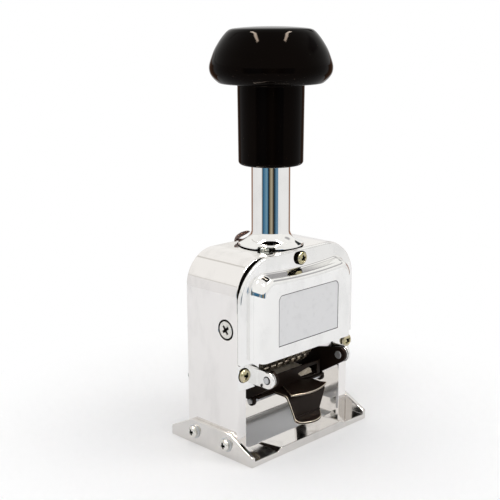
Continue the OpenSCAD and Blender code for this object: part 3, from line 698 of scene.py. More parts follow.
def facing(direction: Sequence[float], at: Sequence[float], spin: float = 0.0) -> Matrix:
    """A matrix that turns +z to a direction, after a spin in degrees round it, and carries it to a place."""
    turn = Vector(direction).to_track_quat("Z", "Y").to_matrix().to_4x4()
    return Matrix.Translation(Vector(at)) @ turn @ Matrix.Rotation(math.radians(spin), 4, "Z")


def new_object(name: str, mesh: Mesh, sharp: float = 32.0) -> bpy.types.Object:
    """Makes a closed, outward facing object from a mesh in millimetres.

    Args:
        name: The object's name.
        mesh: Its points and faces.
        sharp: Edges that turn more than this many degrees stay sharp.

    Returns:
        The object, in the scene, at the origin.
    """
    data = bpy.data.meshes.new(name)
    data.from_pydata((mesh[0] * MM).tolist(), [], mesh[1])
    work = bmesh.new()
    work.from_mesh(data)
    bmesh.ops.remove_doubles(work, verts=work.verts, dist=MERGE)
    bmesh.ops.recalc_face_normals(work, faces=work.faces)
    work.to_mesh(data)
    work.free()
    shade(data, sharp)
    made = bpy.data.objects.new(name, data)
    bpy.context.scene.collection.objects.link(made)
    return made


def shade(data: bpy.types.Mesh, sharp: float = 32.0) -> None:
    """Shades a mesh smooth between its sharp edges."""
    data.polygons.foreach_set("use_smooth", np.ones(len(data.polygons), bool))
    data.set_sharp_from_angle(angle=math.radians(sharp))


def set_modifiers(piece: bpy.types.Object) -> None:
    """Applies the object's modifiers to its mesh."""
    seen = piece.evaluated_get(bpy.context.evaluated_depsgraph_get())
    data = bpy.data.meshes.new_from_object(seen)
    piece.modifiers.clear()
    piece.data = data


def keep_flats(piece: bpy.types.Object) -> None:
    """Lets the piece's flats keep their shading beside its rounded edges."""
    flats = piece.modifiers.new("flats", "WEIGHTED_NORMAL")
    flats.keep_sharp = True


def points_of(piece: bpy.types.Object) -> Array:
    """The piece's points in millimetres."""
    points = np.empty(3 * len(piece.data.vertices))
    piece.data.vertices.foreach_get("co", points)
    return points.reshape(-1, 3) / MM


def set_points(piece: bpy.types.Object, points: Array) -> None:
    """Moves the piece's points to places in millimetres."""
    piece.data.vertices.foreach_set("co", (points * MM).ravel())
    piece.data.update()


def carve(piece: bpy.types.Object, cutter: Mesh, sharp: float = 32.0) -> None:
    """Cuts a closed mesh out of a piece.

    Args:
        piece: The piece, whose own mesh changes.
        cutter: The points and faces of what is cut out.
        sharp: Edges that turn more than this many degrees stay sharp.
    """
    tool = new_object(piece.name + "_cutter", cutter)
    cut = piece.modifiers.new("cut", "BOOLEAN")
    cut.operation = "DIFFERENCE"
    cut.solver = "EXACT"
    cut.object = tool
    set_modifiers(piece)
    bpy.data.objects.remove(tool)
    shade(piece.data, sharp)


def soften(piece: bpy.types.Object, width: float, segments: int = 2, rim: bool = False) -> None:
    """Rounds a piece's sharp edges, and lets its flats keep their shading.

    Args:
        piece: The piece.
        width: Width of the rounding in millimetres.
        segments: Number of steps in the rounding.
        rim: Whether the rounding takes the piece's second material.
    """
    edge = piece.modifiers.new("edge", "BEVEL")
    if rim:
        piece.data.materials.append(None)
        piece.data.materials.append(None)
        edge.material = 1
    edge.width = width * MM
    edge.segments = segments
    edge.limit_method = "ANGLE"
    edge.angle_limit = math.radians(33)
    edge.use_clamp_overlap = False
    edge.miter_outer = "MITER_ARC"
    set_modifiers(piece)
    shade(piece.data, 40.0)
    keep_flats(piece)


def from_cad(node: str, width: float = 0.0, rim: bool = False) -> bpy.types.Object:
    """A copy of a node's solid with merged flats and rounded edges.

    Args:
        node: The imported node.
        width: Radius of its rounded edges in millimetres, or nought for none.
        rim: Whether the rounded edges take the piece's second material.

    Returns:
        The new object.
    """
    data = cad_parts[node].data.copy()
    data.materials.clear()
    work = bmesh.new()
    work.from_mesh(data)
    bmesh.ops.remove_doubles(work, verts=work.verts, dist=MERGE)
    bmesh.ops.dissolve_limit(work, angle_limit=math.radians(0.6), verts=work.verts, edges=work.edges)
    work.to_mesh(data)
    work.free()
    shade(data)
    piece = bpy.data.objects.new(node + "_dressed", data)
    bpy.context.scene.collection.objects.link(piece)
    if width:
        soften(piece, width, rim=rim)
    return piece


def publish(
    piece: bpy.types.Object, finish: Finish, body: Body | str, *nodes: str, rim: Finish | None = None
) -> bpy.types.Object:
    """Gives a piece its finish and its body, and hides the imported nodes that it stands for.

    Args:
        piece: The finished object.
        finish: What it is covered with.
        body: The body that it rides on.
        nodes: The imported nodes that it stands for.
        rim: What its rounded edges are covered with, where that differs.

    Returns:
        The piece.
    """
    index = np.zeros(len(piece.data.polygons), np.int32)
    if rim is not None:
        piece.data.polygons.foreach_get("material_index", index)
    piece.data.materials.clear()
    for skin in (finish, rim) if rim else (finish,):
        piece.data.materials.append(skin.material())
    piece.data.polygons.foreach_set("material_index", index)
    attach(piece, body.value if isinstance(body, Body) else body)
    if nodes:
        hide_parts(*nodes)
    LOG.info("%s: %d faces, finish %s", piece.name, len(piece.data.polygons), finish.name)
    return piece


def dress(node: str, width: float, finish: Finish, body: Body | str) -> bpy.types.Object:
    """Puts a copy of a node's solid, its edges rounded by a width, in the node's place."""
    return publish(from_cad(node, width), finish, body, node)


# ------------------------------------------------------------------ sub-assemblies


@dataclass
class Fastener:
    """A pan head screw with a cross recess, drawn once and set in many places."""

    head_r: float = 2.45
    head_h: float = 1.7
    shank_r: float = 1.2
    shank: float = 3.3
    recess_reach: float = 0.62
    recess_half: float = 0.55
    recess_deep: float = 1.25
    dirt_sunk: float = 0.4

    def outline(self) -> Outline:
        """The screw's section: a shank, and a head that is a low cylinder under a quarter of an ellipse."""
        rim = 0.4 * self.head_h
        dome = np.linspace(0, math.pi / 2, 9)
        crown = np.column_stack(
            [0.35 * self.head_r + 0.65 * self.head_r * np.cos(dome), rim + (self.head_h - rim) * np.sin(dome)]
        )
        profile = [(0, -self.shank), (self.shank_r, -self.shank), (self.shank_r, 0), (self.head_r - 0.15, 0)]
        return [*profile, (self.head_r, 0.15), *crown, (0, self.head_h)]

    def template(self) -> Mesh:
        """The screw along z, its head up and seated at z = 0, with two crossed wedges cut out of its head."""
        screw = new_object("screw_template", turned(self.outline(), 40, False))
        for spin in (0, 90):
            carve(screw, moved(self.wedge(), Matrix.Rotation(math.radians(spin), 4, "Z")))
        made = points_of(screw), [list(face.vertices) for face in screw.data.polygons]
        bpy.data.objects.remove(screw)
        return made

    def wedge(self, above: float = 0.3) -> Mesh:
        """One arm of the cross recess, narrowing downwards from a height above the head's top."""
        low, top = self.head_h - self.recess_deep, self.head_h + above
        size = 0.5 + 0.5 * (top - low) / (self.recess_deep + 0.3)
        half, wide = self.recess_reach * self.head_r, self.recess_half
        foot = np.array([(-half, -wide), (half, -wide), (half, wide), (-half, wide)])
        return lofted(np.array([level_loop(0.5 * foot, low), level_loop(size * foot, top)]))

    def shades(self, name: str, places: Sequence[Matrix], rim: float, high: float) -> bpy.types.Object:
        """Painted shade: a dark fill in each recess, and a dark ring round the head's foot.

        Args:
            name: The object's name.
            places: Where the screws are set.
            rim: How far the ring reaches beyond the head, or less than nought where it stays under it.
            high: Height of the ring.

        Returns:
            One object with the dirt and the ring of every screw.
        """
        inner, outer = self.shank_r + 0.2, self.head_r + rim
        arm = self.wedge(-self.dirt_sunk)
        arms = [moved(arm, Matrix.Rotation(math.radians(spin), 4, "Z")) for spin in (0, 90)]
        # Dark pieces of painted shade: the ring round the head and the fill deep in the recess.
        painted_shade = joined([ring(inner, outer, 0, high), *arms])
        return new_object(name, joined(moved(painted_shade, place) for place in places))

    def set_at(self, name: str, places: Sequence[Matrix]) -> bpy.types.Object:
        """One object with a screw at each place, its recess marked for painted shade.

        The mark is one where a point inside the head's rim lies well below the head's top.

        Args:
            name: The object's name.
            places: Where the screws are set.

        Returns:
            The object.
        """
        screw = self.template()
        points = screw[0]
        inside = np.hypot(points[:, 0], points[:, 1]) < (self.recess_reach + 0.03) * self.head_r
        deep = np.clip((self.head_h - 0.05 - points[:, 2]) / (0.5 * self.recess_deep), 0, 1)
        mark = np.where(inside & (points[:, 2] > 0.02), deep, 0.0)
        piece = new_object(name, joined(moved(screw, place) for place in places))
        if len(piece.data.vertices) == len(mark) * len(places):
            layer = piece.data.attributes.new(RECESS, "FLOAT", "POINT")
            layer.data.foreach_set("value", np.tile(mark, len(places)))
        return piece


@dataclass
class Countersunk(Fastener):
    """A countersunk screw whose flat head lies flush in a sheet."""

    def outline(self) -> Outline:
        """The screw's section: a shank and a cone with a slightly domed face."""
        h, r = self.head_h, self.head_r
        shank = [(0, -self.shank), (self.shank_r, -self.shank), (self.shank_r, 0), (self.shank_r + 0.45, 0)]
        return [*shank, (r - 0.06, h - 0.2), (r - 0.02, h - 0.08), (r - 0.14, h), (0, h + 0.1)]


@dataclass
class Base:
    """The base sheet with its flanges, screws and washers."""

    edge: float = 0.35
    lip_d: float = 11.4
    lip_half: float = 22.0
    lip_least: float = 0.05
    lip_fall: float = 0.93
    leg_screw_y: float = 9.6
    leg_screw_z: float = 5.6

    def sheet(self) -> bpy.types.Object:
        """The base sheet, its lip sloped: flush at the window and at full height at the front edge."""
        piece = from_cad("base_plate", self.edge)
        points = points_of(piece)
        rise = points[:, 2] - SIZES.base_t
        on_lip = (rise > self.lip_least) & (np.abs(points[:, 0]) < self.lip_half)
        run = np.clip((points[:, 1] + SIZES.base_d / 2) / self.lip_d, 0, 1)
        points[on_lip, 2] -= (self.lip_fall * rise * run)[on_lip]
        set_points(piece, points)
        return piece

    def build(self) -> None:
        """Makes the base's pieces."""
        publish(self.sheet(), BASE_SHEET, Body.FRAME, "base_plate")
        dress("base_washers", 0.12, STEEL, Body.FRAME)
        x = SIZES.base_w / 2 + 0.5
        places = [
            facing((side, 0, 0), (side * x, y, self.leg_screw_z), 31.0 * side + 5.0 * y)
            for side in (-1, 1)
            for y in (-self.leg_screw_y, self.leg_screw_y)
        ]
        maker = Fastener(shank_r=1.45, shank=5.6)
        publish(maker.set_at("base_screws_dressed", places), BRIGHT_ZINC, Body.FRAME, "base_screws")
        publish(maker.shades("base_screw_shades", places, rim=-0.3, high=0.1), PAINTED_GAP_SHADE, Body.FRAME)


@dataclass
class Shell:
    """The frame, its two covers, and the screws that hold them."""

    bend_r: float = 0.5
    cover_edge: float = 0.45
    corner_gap: float = 2.4
    fillet: float = 1.3
    draft: float = 0.8
    wall: float = 1.0
    panel_w: float = 36.4
    panel_h: float = 21.2
    panel_low: float = 45.6
    panel_r: float = 2.4
    cover_gap: float = 0.4
    seam_low: float = 60.0
    side_screw_y: float = -7.8
    side_screw_z: float = 53.2
    side_head_r: float = 4.15
    neck_hole_r: float = 7.55
    back_screws: tuple[tuple[float, float], ...] = ((0.0, 78.0), (-30.4, 28.0), (30.4, 28.0))

    def channel(self) -> Outline:
        """The frame's section as (y, depth under its skin): a channel with round outer bends."""
        s = SIZES
        front, back, r, t = s.front, s.rear, self.bend_r, s.sheet
        turn = np.linspace(0, math.pi / 2, 7)
        front_bend = [(front + r - r * math.cos(a), r - r * math.sin(a)) for a in turn]
        back_bend = [(back - r + r * math.sin(a), r - r * math.cos(a)) for a in turn]
        lip = 0.25
        outside = [(front + lip, s.strip_w), (front, s.strip_w - lip), *front_bend, *back_bend]
        inside = [(back, s.strip_w - lip), (back - lip, s.strip_w), (back - t, s.strip_w), (back - t, t)]
        return outside + inside + [(front + t, t), (front + t, s.strip_w)]

    def along_arch(self, section: Outline, low: float) -> Mesh:
        """A section carried along the frame's arch.

        Args:
            section: Points (y, depth under the frame's skin) in order.
            low: Height of the arch's feet.

        Returns:
            The points and faces.
        """
        s = SIZES
        loops = []
        for y, deep in section:
            line = arch_line(s.frame_w - 2 * deep, s.frame_h - deep, s.corner_r - deep, low)
            loops.append(upright_loop(line, y))
        return lofted(np.swapaxes(np.array(loops), 0, 1))

    def frame_sheet(self) -> bpy.types.Object:
        """The frame: its channel section along the arch, with the side screws' seats and the neck's hole."""
        s = SIZES
        piece = new_object("frame_sheet", self.along_arch(self.channel(), s.base_t))
        for side in (-1, 1):
            place = self.side_place(side)
            seat = [(0, -0.4), (2.3, -0.4), (2.3, 0), (self.side_head_r + 0.3, s.sheet), (4.8, s.sheet + 0.5)]
            cone = turned([*seat, (0, s.sheet + 0.5)], 64, False)
            carve(piece, moved(cone, place))
        low, high, r = s.frame_h - 3, s.frame_h + 1, self.neck_hole_r
        carve(piece, turned([(0, low), (r, low), (r, high), (0, high)], 64, False))
        keep_flats(piece)
        return piece

    def seam(self) -> bpy.types.Object:
        """A dark slab of painted shade in the seam between the frame's upper left and its cover, widest at
        the round corner.
        """
        near, far = SIZES.front - self.cover_gap + 0.02, SIZES.front - 0.01
        section = [(near, 0.12), (far, 0.12), (far, 3.4), (near, 3.4)]
        points, _ = self.along_arch(section, SIZES.cover_low)
        arch = points.reshape(-1, len(section), 3)
        upper_left = arch[: len(arch) // 2][arch[: len(arch) // 2, 0, 2] > self.seam_low]
        return new_object("cover_seam_shade", lofted(upper_left))

    def cover_rows(self) -> list[tuple[float, float, float, float, float]]:
        """The cover's rows from its rim inwards, each as width, top, corner radius, foot and depth y."""
        s = SIZES
        quarter = np.linspace(0, math.pi / 2, 7)
        corner = s.corner_r + self.corner_gap
        rows = [(s.frame_w, s.frame_h, corner, s.cover_low, s.front - self.cover_gap)]
        for a in quarter:
            inset = self.cover_edge * (1 - math.cos(a))
            y = s.cover_face + self.cover_edge * (1 - math.sin(a))
            rows.append((s.frame_w - 2 * inset, s.frame_h - inset, corner - inset, s.cover_low, y))
        for a in quarter:
            grow = self.fillet * (1 - math.sin(a))
            y = s.cover_face - self.fillet * (1 - math.cos(a))
            foot = s.cover_low + (s.bulge_low - s.cover_low) * a / (math.pi / 2)
            rows.append((s.bulge_w + 2 * grow, s.bulge_top + grow, s.bulge_corner + grow, foot, y))
        straight = s.bulge_out - s.bulge_edge
        for a in quarter:
            inset = self.draft + s.bulge_edge * (1 - math.cos(a))
            corner = s.bulge_corner - inset / 2
            y = s.cover_face - straight - s.bulge_edge * math.sin(a)
            rows.append((s.bulge_w - 2 * inset, s.bulge_top - inset, corner, s.bulge_low, y))
        return rows

    def cover(self) -> bpy.types.Object:
        """The front cover: arches that step in and forward, its bulge's top dipping as a parabola."""
        s = SIZES
        half = s.bulge_w / 2 - s.bulge_corner
        loops = []
        for index, (width, top, radius, low, y) in enumerate(self.cover_rows()):
            line = arch_line(width, top, radius, low)
            if index > 7:
                near_top = np.clip((line[:, 1] - (top - 4.0)) / 4.0, 0, 1)
                line[:, 1] -= s.bulge_dip * np.clip(1 - (line[:, 0] / half) ** 2, 0, 1) * near_top
            loops.append(upright_loop(line, y))
        rows = np.array(loops)
        points, faces = lofted(rows, closed_loops=False, caps=False)
        faces.append([(len(rows) - 1) * rows.shape[1] + i for i in range(rows.shape[1])])
        piece = new_object("front_cover_dressed", (points, faces))
        wall = piece.modifiers.new("wall", "SOLIDIFY")
        wall.thickness = self.wall * MM
        wall.offset = -1.0
        wall.use_even_offset = True
        set_modifiers(piece)
        shade(piece.data)
        line = arch_line(self.panel_w, self.panel_low + self.panel_h, self.panel_r, self.panel_low)
        deep = [s.bulge_face - 0.5, s.bulge_face + 0.25]
        carve(piece, lofted(np.array([upright_loop(line, y) for y in deep])))
        keep_flats(piece)
        return piece

    def panel_slab(self, name: str, gap: float, deep: Sequence[float]) -> bpy.types.Object:
        """A slab with the panel's outline.

        Args:
            name: The object's name.
            gap: How far the outline is drawn in.
            deep: The two depths y that the slab lies between.

        Returns:
            The slab.
        """
        top, low = self.panel_low + self.panel_h - gap, self.panel_low + gap
        line = arch_line(self.panel_w - 2 * gap, top, self.panel_r - gap, low)
        return new_object(name, lofted(np.array([upright_loop(line, y) for y in deep])))

    def side_place(self, side: int, spin: float = 0.0) -> Matrix:
        """Where a side screw's head is seated: on the side sheet's inner face, facing out."""
        x = SIZES.frame_w / 2 - SIZES.sheet
        return facing((side, 0, 0), (side * x, self.side_screw_y, self.side_screw_z), spin)

    def side_screws(self) -> None:
        """The countersunk screws of the side sheets, flush with them, each in a seat darkened with painted
        shade.
        """
        t = SIZES.sheet
        places = [self.side_place(side, 38.0) for side in (-1, 1)]
        maker = Countersunk(
            head_r=self.side_head_r - 0.6,
            head_h=t,
            shank_r=1.5,
            shank=2.5,
            recess_reach=0.64,
            recess_half=0.62,
            recess_deep=1.3,
        )
        publish(maker.set_at("side_screws_dressed", places), BRIGHT_ZINC, Body.FRAME, "side_screws")
        # Painted shade in each recess and in a ring round each head.
        publish(maker.shades("side_screw_shades", places, rim=0.85, high=t - 0.1), PAINTED_GAP_SHADE, Body.FRAME)

    def cover_screws(self) -> None:
        """The pan head screws of the two covers, each over a ring of painted shade."""
        s = SIZES
        places = [facing((0, -1, 0), (0, s.cover_face - 0.35, s.top_screw_z), 20.0)]
        for x, z in self.back_screws:
            places.append(facing((0, 1, 0), (x, s.rear, z), 15.0 + x))
        maker = Fastener(head_r=2.6)
        publish(maker.set_at("cover_screws_dressed", places), ZINC, Body.FRAME, "cover_screws")
        publish(maker.shades("cover_screw_shade_rings", places, rim=0.3, high=0.6), PAINTED_GAP_SHADE, Body.FRAME)

    def build(self) -> None:
        """Makes the frame, the covers and their screws."""
        face = SIZES.bulge_face
        publish(self.frame_sheet(), SIDE_SHEET, Body.FRAME, "outer_frame")
        publish(self.cover(), SHEET, Body.FRAME, "front_cover")
        # A dark slab of painted shade shows in the narrow groove round the bare panel.
        publish(self.panel_slab("panel_groove_shade", 0.01, (face + 0.24, face + 0.2)), PAINTED_GAP_SHADE, Body.FRAME)
        publish(self.panel_slab("bare_panel", 0.3, (face + 0.2, face + 0.04)), PLATE, Body.FRAME)
        self.side_screws()
        dress("back_cover", 0.3, SHEET, Body.FRAME)
        publish(self.seam(), PAINTED_GAP_SHADE, Body.FRAME)
        self.cover_screws()


@dataclass
class Neck:
    """The neck tube, its nut, the lock ring and the return spring."""

    spigot_low: float = 75.8
    lock_gap: float = 0.15
    lock_t: float = 1.0
    bore: float = 6.8
    bore_low: float = 86.8
    foot_wall: float = 1.7
    spigot_r: float = 7.5
    spigot_bore: float = 4.6
    spring_r: float = 5.2
    wire_r: float = 0.5
    spring_turns: int = 18
    spring_from: float = 87.35
    spring_to: float = 151.75
    leaf_middle: float = 108.0
    leaf_half: float = 26.0
    leaf_z: float = 83.65
    leaf_slope: float = 0.034
    leaf_spread: float = 0.9
    front_notch: tuple[float, float] = (200.5, 232.0)
    leaf_notch: tuple[float, float] = (110.0, 133.0)
    notch_deep: float = 1.8
    notch_h: float = 1.3
    foot_ring_w: float = 1.5
    foot_ring_h: float = 0.42

    def profile(self) -> Outline:
        """The neck's section: spigot, hollow foot, flare, tube and bore."""
        s = SIZES
        top, rim = s.frame_h, s.frame_h + 0.9
        roof = top + self.lock_gap + self.lock_t + self.lock_gap
        lowest, corner = (s.flare_r - 0.12, rim + 0.12), (s.neck_r + 0.5, rim + s.flare_h * 0.24)
        flare = bend(lowest, corner, (s.neck_r, top + 6.0), 24)
        wall = s.flare_r - self.foot_wall
        outline = [(self.spigot_bore, self.spigot_low), (self.spigot_r, self.spigot_low)]
        outline += [(self.spigot_r, roof), (wall, roof), (wall, top)]
        outline += [(s.flare_r - 0.15, top), (s.flare_r, top + 0.15)]
        outline += [(s.flare_r, rim - 0.1), *flare.tolist()]
        outline += [(s.neck_r, s.neck_top - 0.4), (s.neck_r - 0.4, s.neck_top), (self.bore, s.neck_top)]
        return outline + [(self.bore, self.bore_low), (self.spigot_bore, self.bore_low)]

    def notch(self, start: float, end: float) -> Mesh:
        """A block that cuts the foot's rim.

        Args:
            start: The angle in degrees where it begins.
            end: The angle where it ends.

        Returns:
            The block's points and faces.
        """
        s = SIZES
        a = np.radians(np.linspace(start, end, 9))
        round_line = np.column_stack([np.cos(a), np.sin(a)])
        inner = s.flare_r - self.notch_deep
        outline = np.vstack([inner * round_line, (s.flare_r + 1) * round_line[::-1]])
        return lofted(np.array([level_loop(outline, z) for z in (s.frame_h - 0.5, s.frame_h + self.notch_h)]))

    def lock_ring(self) -> bpy.types.Object:
        """The lock ring, its leaf drawn out to a lens.

        The height over the leaf's sloping middle line falls off towards both ends as a circle does.
        """
        piece = from_cad("lock_ring", 0.12)
        x, y, z = points_of(piece).T
        angle = np.degrees(np.arctan2(y, x)) - self.leaf_middle
        middle = self.leaf_z - self.leaf_slope * angle
        spread = self.leaf_spread * np.sqrt(np.clip(1.02 - (angle / self.leaf_half) ** 2, 0.02, 1))
        on_leaf = (np.hypot(x, y) > SIZES.flare_r + 0.7) & (np.abs(angle) < self.leaf_half + 1)
        z[on_leaf] = (middle + (z - middle) * spread)[on_leaf]
        set_points(piece, np.column_stack([x, y, z]))
        return piece

    def build(self) -> None:
        """Makes the neck's pieces."""
        piece = new_object("neck_tube_dressed", turned(self.profile(), 128))
        carve(piece, self.notch(*self.front_notch))
        carve(piece, self.notch(*self.leaf_notch))
        publish(piece, TURNED, Body.FRAME, "neck_tube")
        dress("neck_nut", 0.2, STEEL, Body.FRAME)
        publish(self.lock_ring(), DARK_STEEL, Body.LOCK, "lock_ring")
        r, low = SIZES.flare_r, SIZES.frame_h
        foot = ring(r - self.foot_ring_w, r + 0.06, low, low + self.foot_ring_h, 128)
        publish(new_object("foot_shade", foot), PAINTED_GAP_SHADE, Body.FRAME)
        turn = np.linspace(0, self.spring_turns * 2 * math.pi, self.spring_turns * 28)
        rise = self.spring_from + (self.spring_to - self.spring_from) * turn / turn[-1]
        coil = np.column_stack([self.spring_r * np.cos(turn), self.spring_r * np.sin(turn), rise])
        wound = new_object("return_spring_dressed", tube(coil, self.wire_r, 10))
        spring = publish(wound, STEEL, Body.FRAME, "return_spring")
        low = self.spring_from - self.wire_r
        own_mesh(spring)


KNOB_SILHOUETTE = (
    (0, 170.6), (6, 170.5), (11, 170.2), (14.5, 169.85), (16.4, 169.45), (17.6, 168.7),
    (18.7, 167.6), (20.5, 165.3), (22.7, 161.7), (24.1, 158.2), (24.8, 156), (25.0, 154.6),
    (24.9, 153.2), (24.45, 151.8), (23.5, 150.4), (22.2, 149.1), (20.9, 148.2), (19.2, 147.95),
    (17, 147.9), (14.8, 147.85), (14, 147.7), (13.7, 147), (13.68, 145), (13.64, 142),
)


@dataclass
class Knob:
    """The push knob: a full round cap on a hollow skirt.

    Its silhouette is a list of points (r, z) from the top's middle to the skirt.
    """

    cavity_r: float = 8.7
    cavity_top: float = 152.3
    rod_r: float = 3.02
    rod_top: float = 160.0
    edge_r: float = 1.6

    def build(self) -> None:
        """Makes the knob by turning a smooth line through its silhouette."""
        s = SIZES
        outline = smooth_line(KNOB_SILHOUETTE, 5).tolist()
        edge = np.linspace(0, math.pi / 2, 7)
        r, wide = self.edge_r, s.skirt_r + 0.1
        outline += [(wide - r + r * math.cos(a), s.skirt_low + r - r * math.sin(a)) for a in edge]
        outline += [(self.cavity_r + 0.4, s.skirt_low), (self.cavity_r, s.skirt_low + 0.4)]
        outline += [(self.cavity_r, self.cavity_top), (self.rod_r, self.cavity_top)]
        outline += [(self.rod_r, self.rod_top), (0, self.rod_top)]
        knob = new_object("knob_dressed", turned(outline, 160, False), 40.0)
        publish(knob, KNOB_BLACK, Body.PLUNGER, "knob")


@dataclass
class Works:
    """The plunger's inner parts: rod, yoke, wheels with their figures, comb and pawls."""

    figure_h: float = 4.6
    figure_w: float = 2.2
    drum_w: float = 2.9
    ratchet_w: float = 1.0
    wheels: int = 7

    def figure(self, digit: int) -> Mesh:
        """A digit as raised type, lying flat: x across, y up, z out, mirrored as type is.

        Args:
            digit: The digit.

        Returns:
            Its points, x and y in millimetres and z from minus to plus a half, and its faces.
        """
        text = bpy.data.curves.new("figure", "FONT")
        text.body = str(digit)
        text.align_x = "CENTER"
        text.size = 1.0
        text.resolution_u = 2
        text.extrude = 0.5
        shape = bpy.data.objects.new("figure", text)
        bpy.context.scene.collection.objects.link(shape)
        data = bpy.data.meshes.new_from_object(shape.evaluated_get(bpy.context.evaluated_depsgraph_get()))
        work = bmesh.new()
        work.from_mesh(data)
        bmesh.ops.remove_doubles(work, verts=work.verts, dist=1e-4)
        for level in (0.12, 0.3, 0.45, 0.6):
            parts = work.verts[:] + work.edges[:] + work.faces[:]
            bmesh.ops.bisect_plane(work, geom=parts, plane_co=(0, level, 0), plane_no=(0, 1, 0))
        work.verts.index_update()
        points = np.array([v.co[:] for v in work.verts])
        faces = [[v.index for v in face.verts] for face in work.faces]
        work.free()
        bpy.data.objects.remove(shape)
        bpy.data.meshes.remove(data)
        low, high = points.min(0), points.max(0)
        unit = (points - (low + high) / 2) / (high - low)
        width = self.figure_w * (0.55 if digit == 1 else 1.0)
        return unit * [-width, self.figure_h, 1.0], faces

    def wheel_figures(self, index: int, figures: list[Mesh]) -> Mesh:
        """A wheel's ten figures, bent round its rim: y becomes the angle y / r and z the height over it.

        Args:
            index: The wheel's number, from one at the left.
            figures: The ten digits, lying flat.

        Returns:
            The points and faces of all ten.
        """
        s = SIZES
        left = (index - (self.wheels + 1) / 2) * s.wheel_pitch - s.wheel_pitch / 2
        middle = left + (s.wheel_pitch - self.drum_w - self.ratchet_w) / 2 + self.ratchet_w + self.drum_w / 2
        parts = []
        for digit, (points, faces) in enumerate(figures):
            angle = math.radians(36 * digit - 90) + points[:, 1] / s.wheel_r
            r = s.wheel_r - 0.15 + (points[:, 2] + 0.5) * (s.type_h + 0.1)
            bent = [middle + points[:, 0], r * np.cos(angle), s.axis_z + r * np.sin(angle)]
            parts.append((np.column_stack(bent), faces))
        return joined(parts)

    def build(self) -> None:
        """Makes the inner parts."""
        dress("plunger_rod", 0.2, STEEL, Body.PLUNGER)
        dress("rod_nut", 0.2, STEEL, Body.PLUNGER)
        dress("stop_washer", 0.25, RUBBER, Body.PLUNGER)
        dress("yoke", 0.2, STEEL, Body.PLUNGER)
        dress("wheel_axle", 0.2, STEEL, Body.PLUNGER)
        dress("axle_clips", 0.1, ZINC, Body.PLUNGER)
        dress("detent_comb", 0.06, TYPE_METAL, Body.PLUNGER)
        dress("pawl_frame", 0.08, TYPE_METAL, Body.PAWLS)
        figures = [self.figure(digit) for digit in range(10)]
        for index in range(1, self.wheels + 1):
            body = f"wheel_{index}"
            dress(f"number_wheel_{index}", 0.1, TYPE_METAL, body)
            publish(new_object(f"figures_{index}", self.wheel_figures(index, figures)), TYPE_METAL, body)


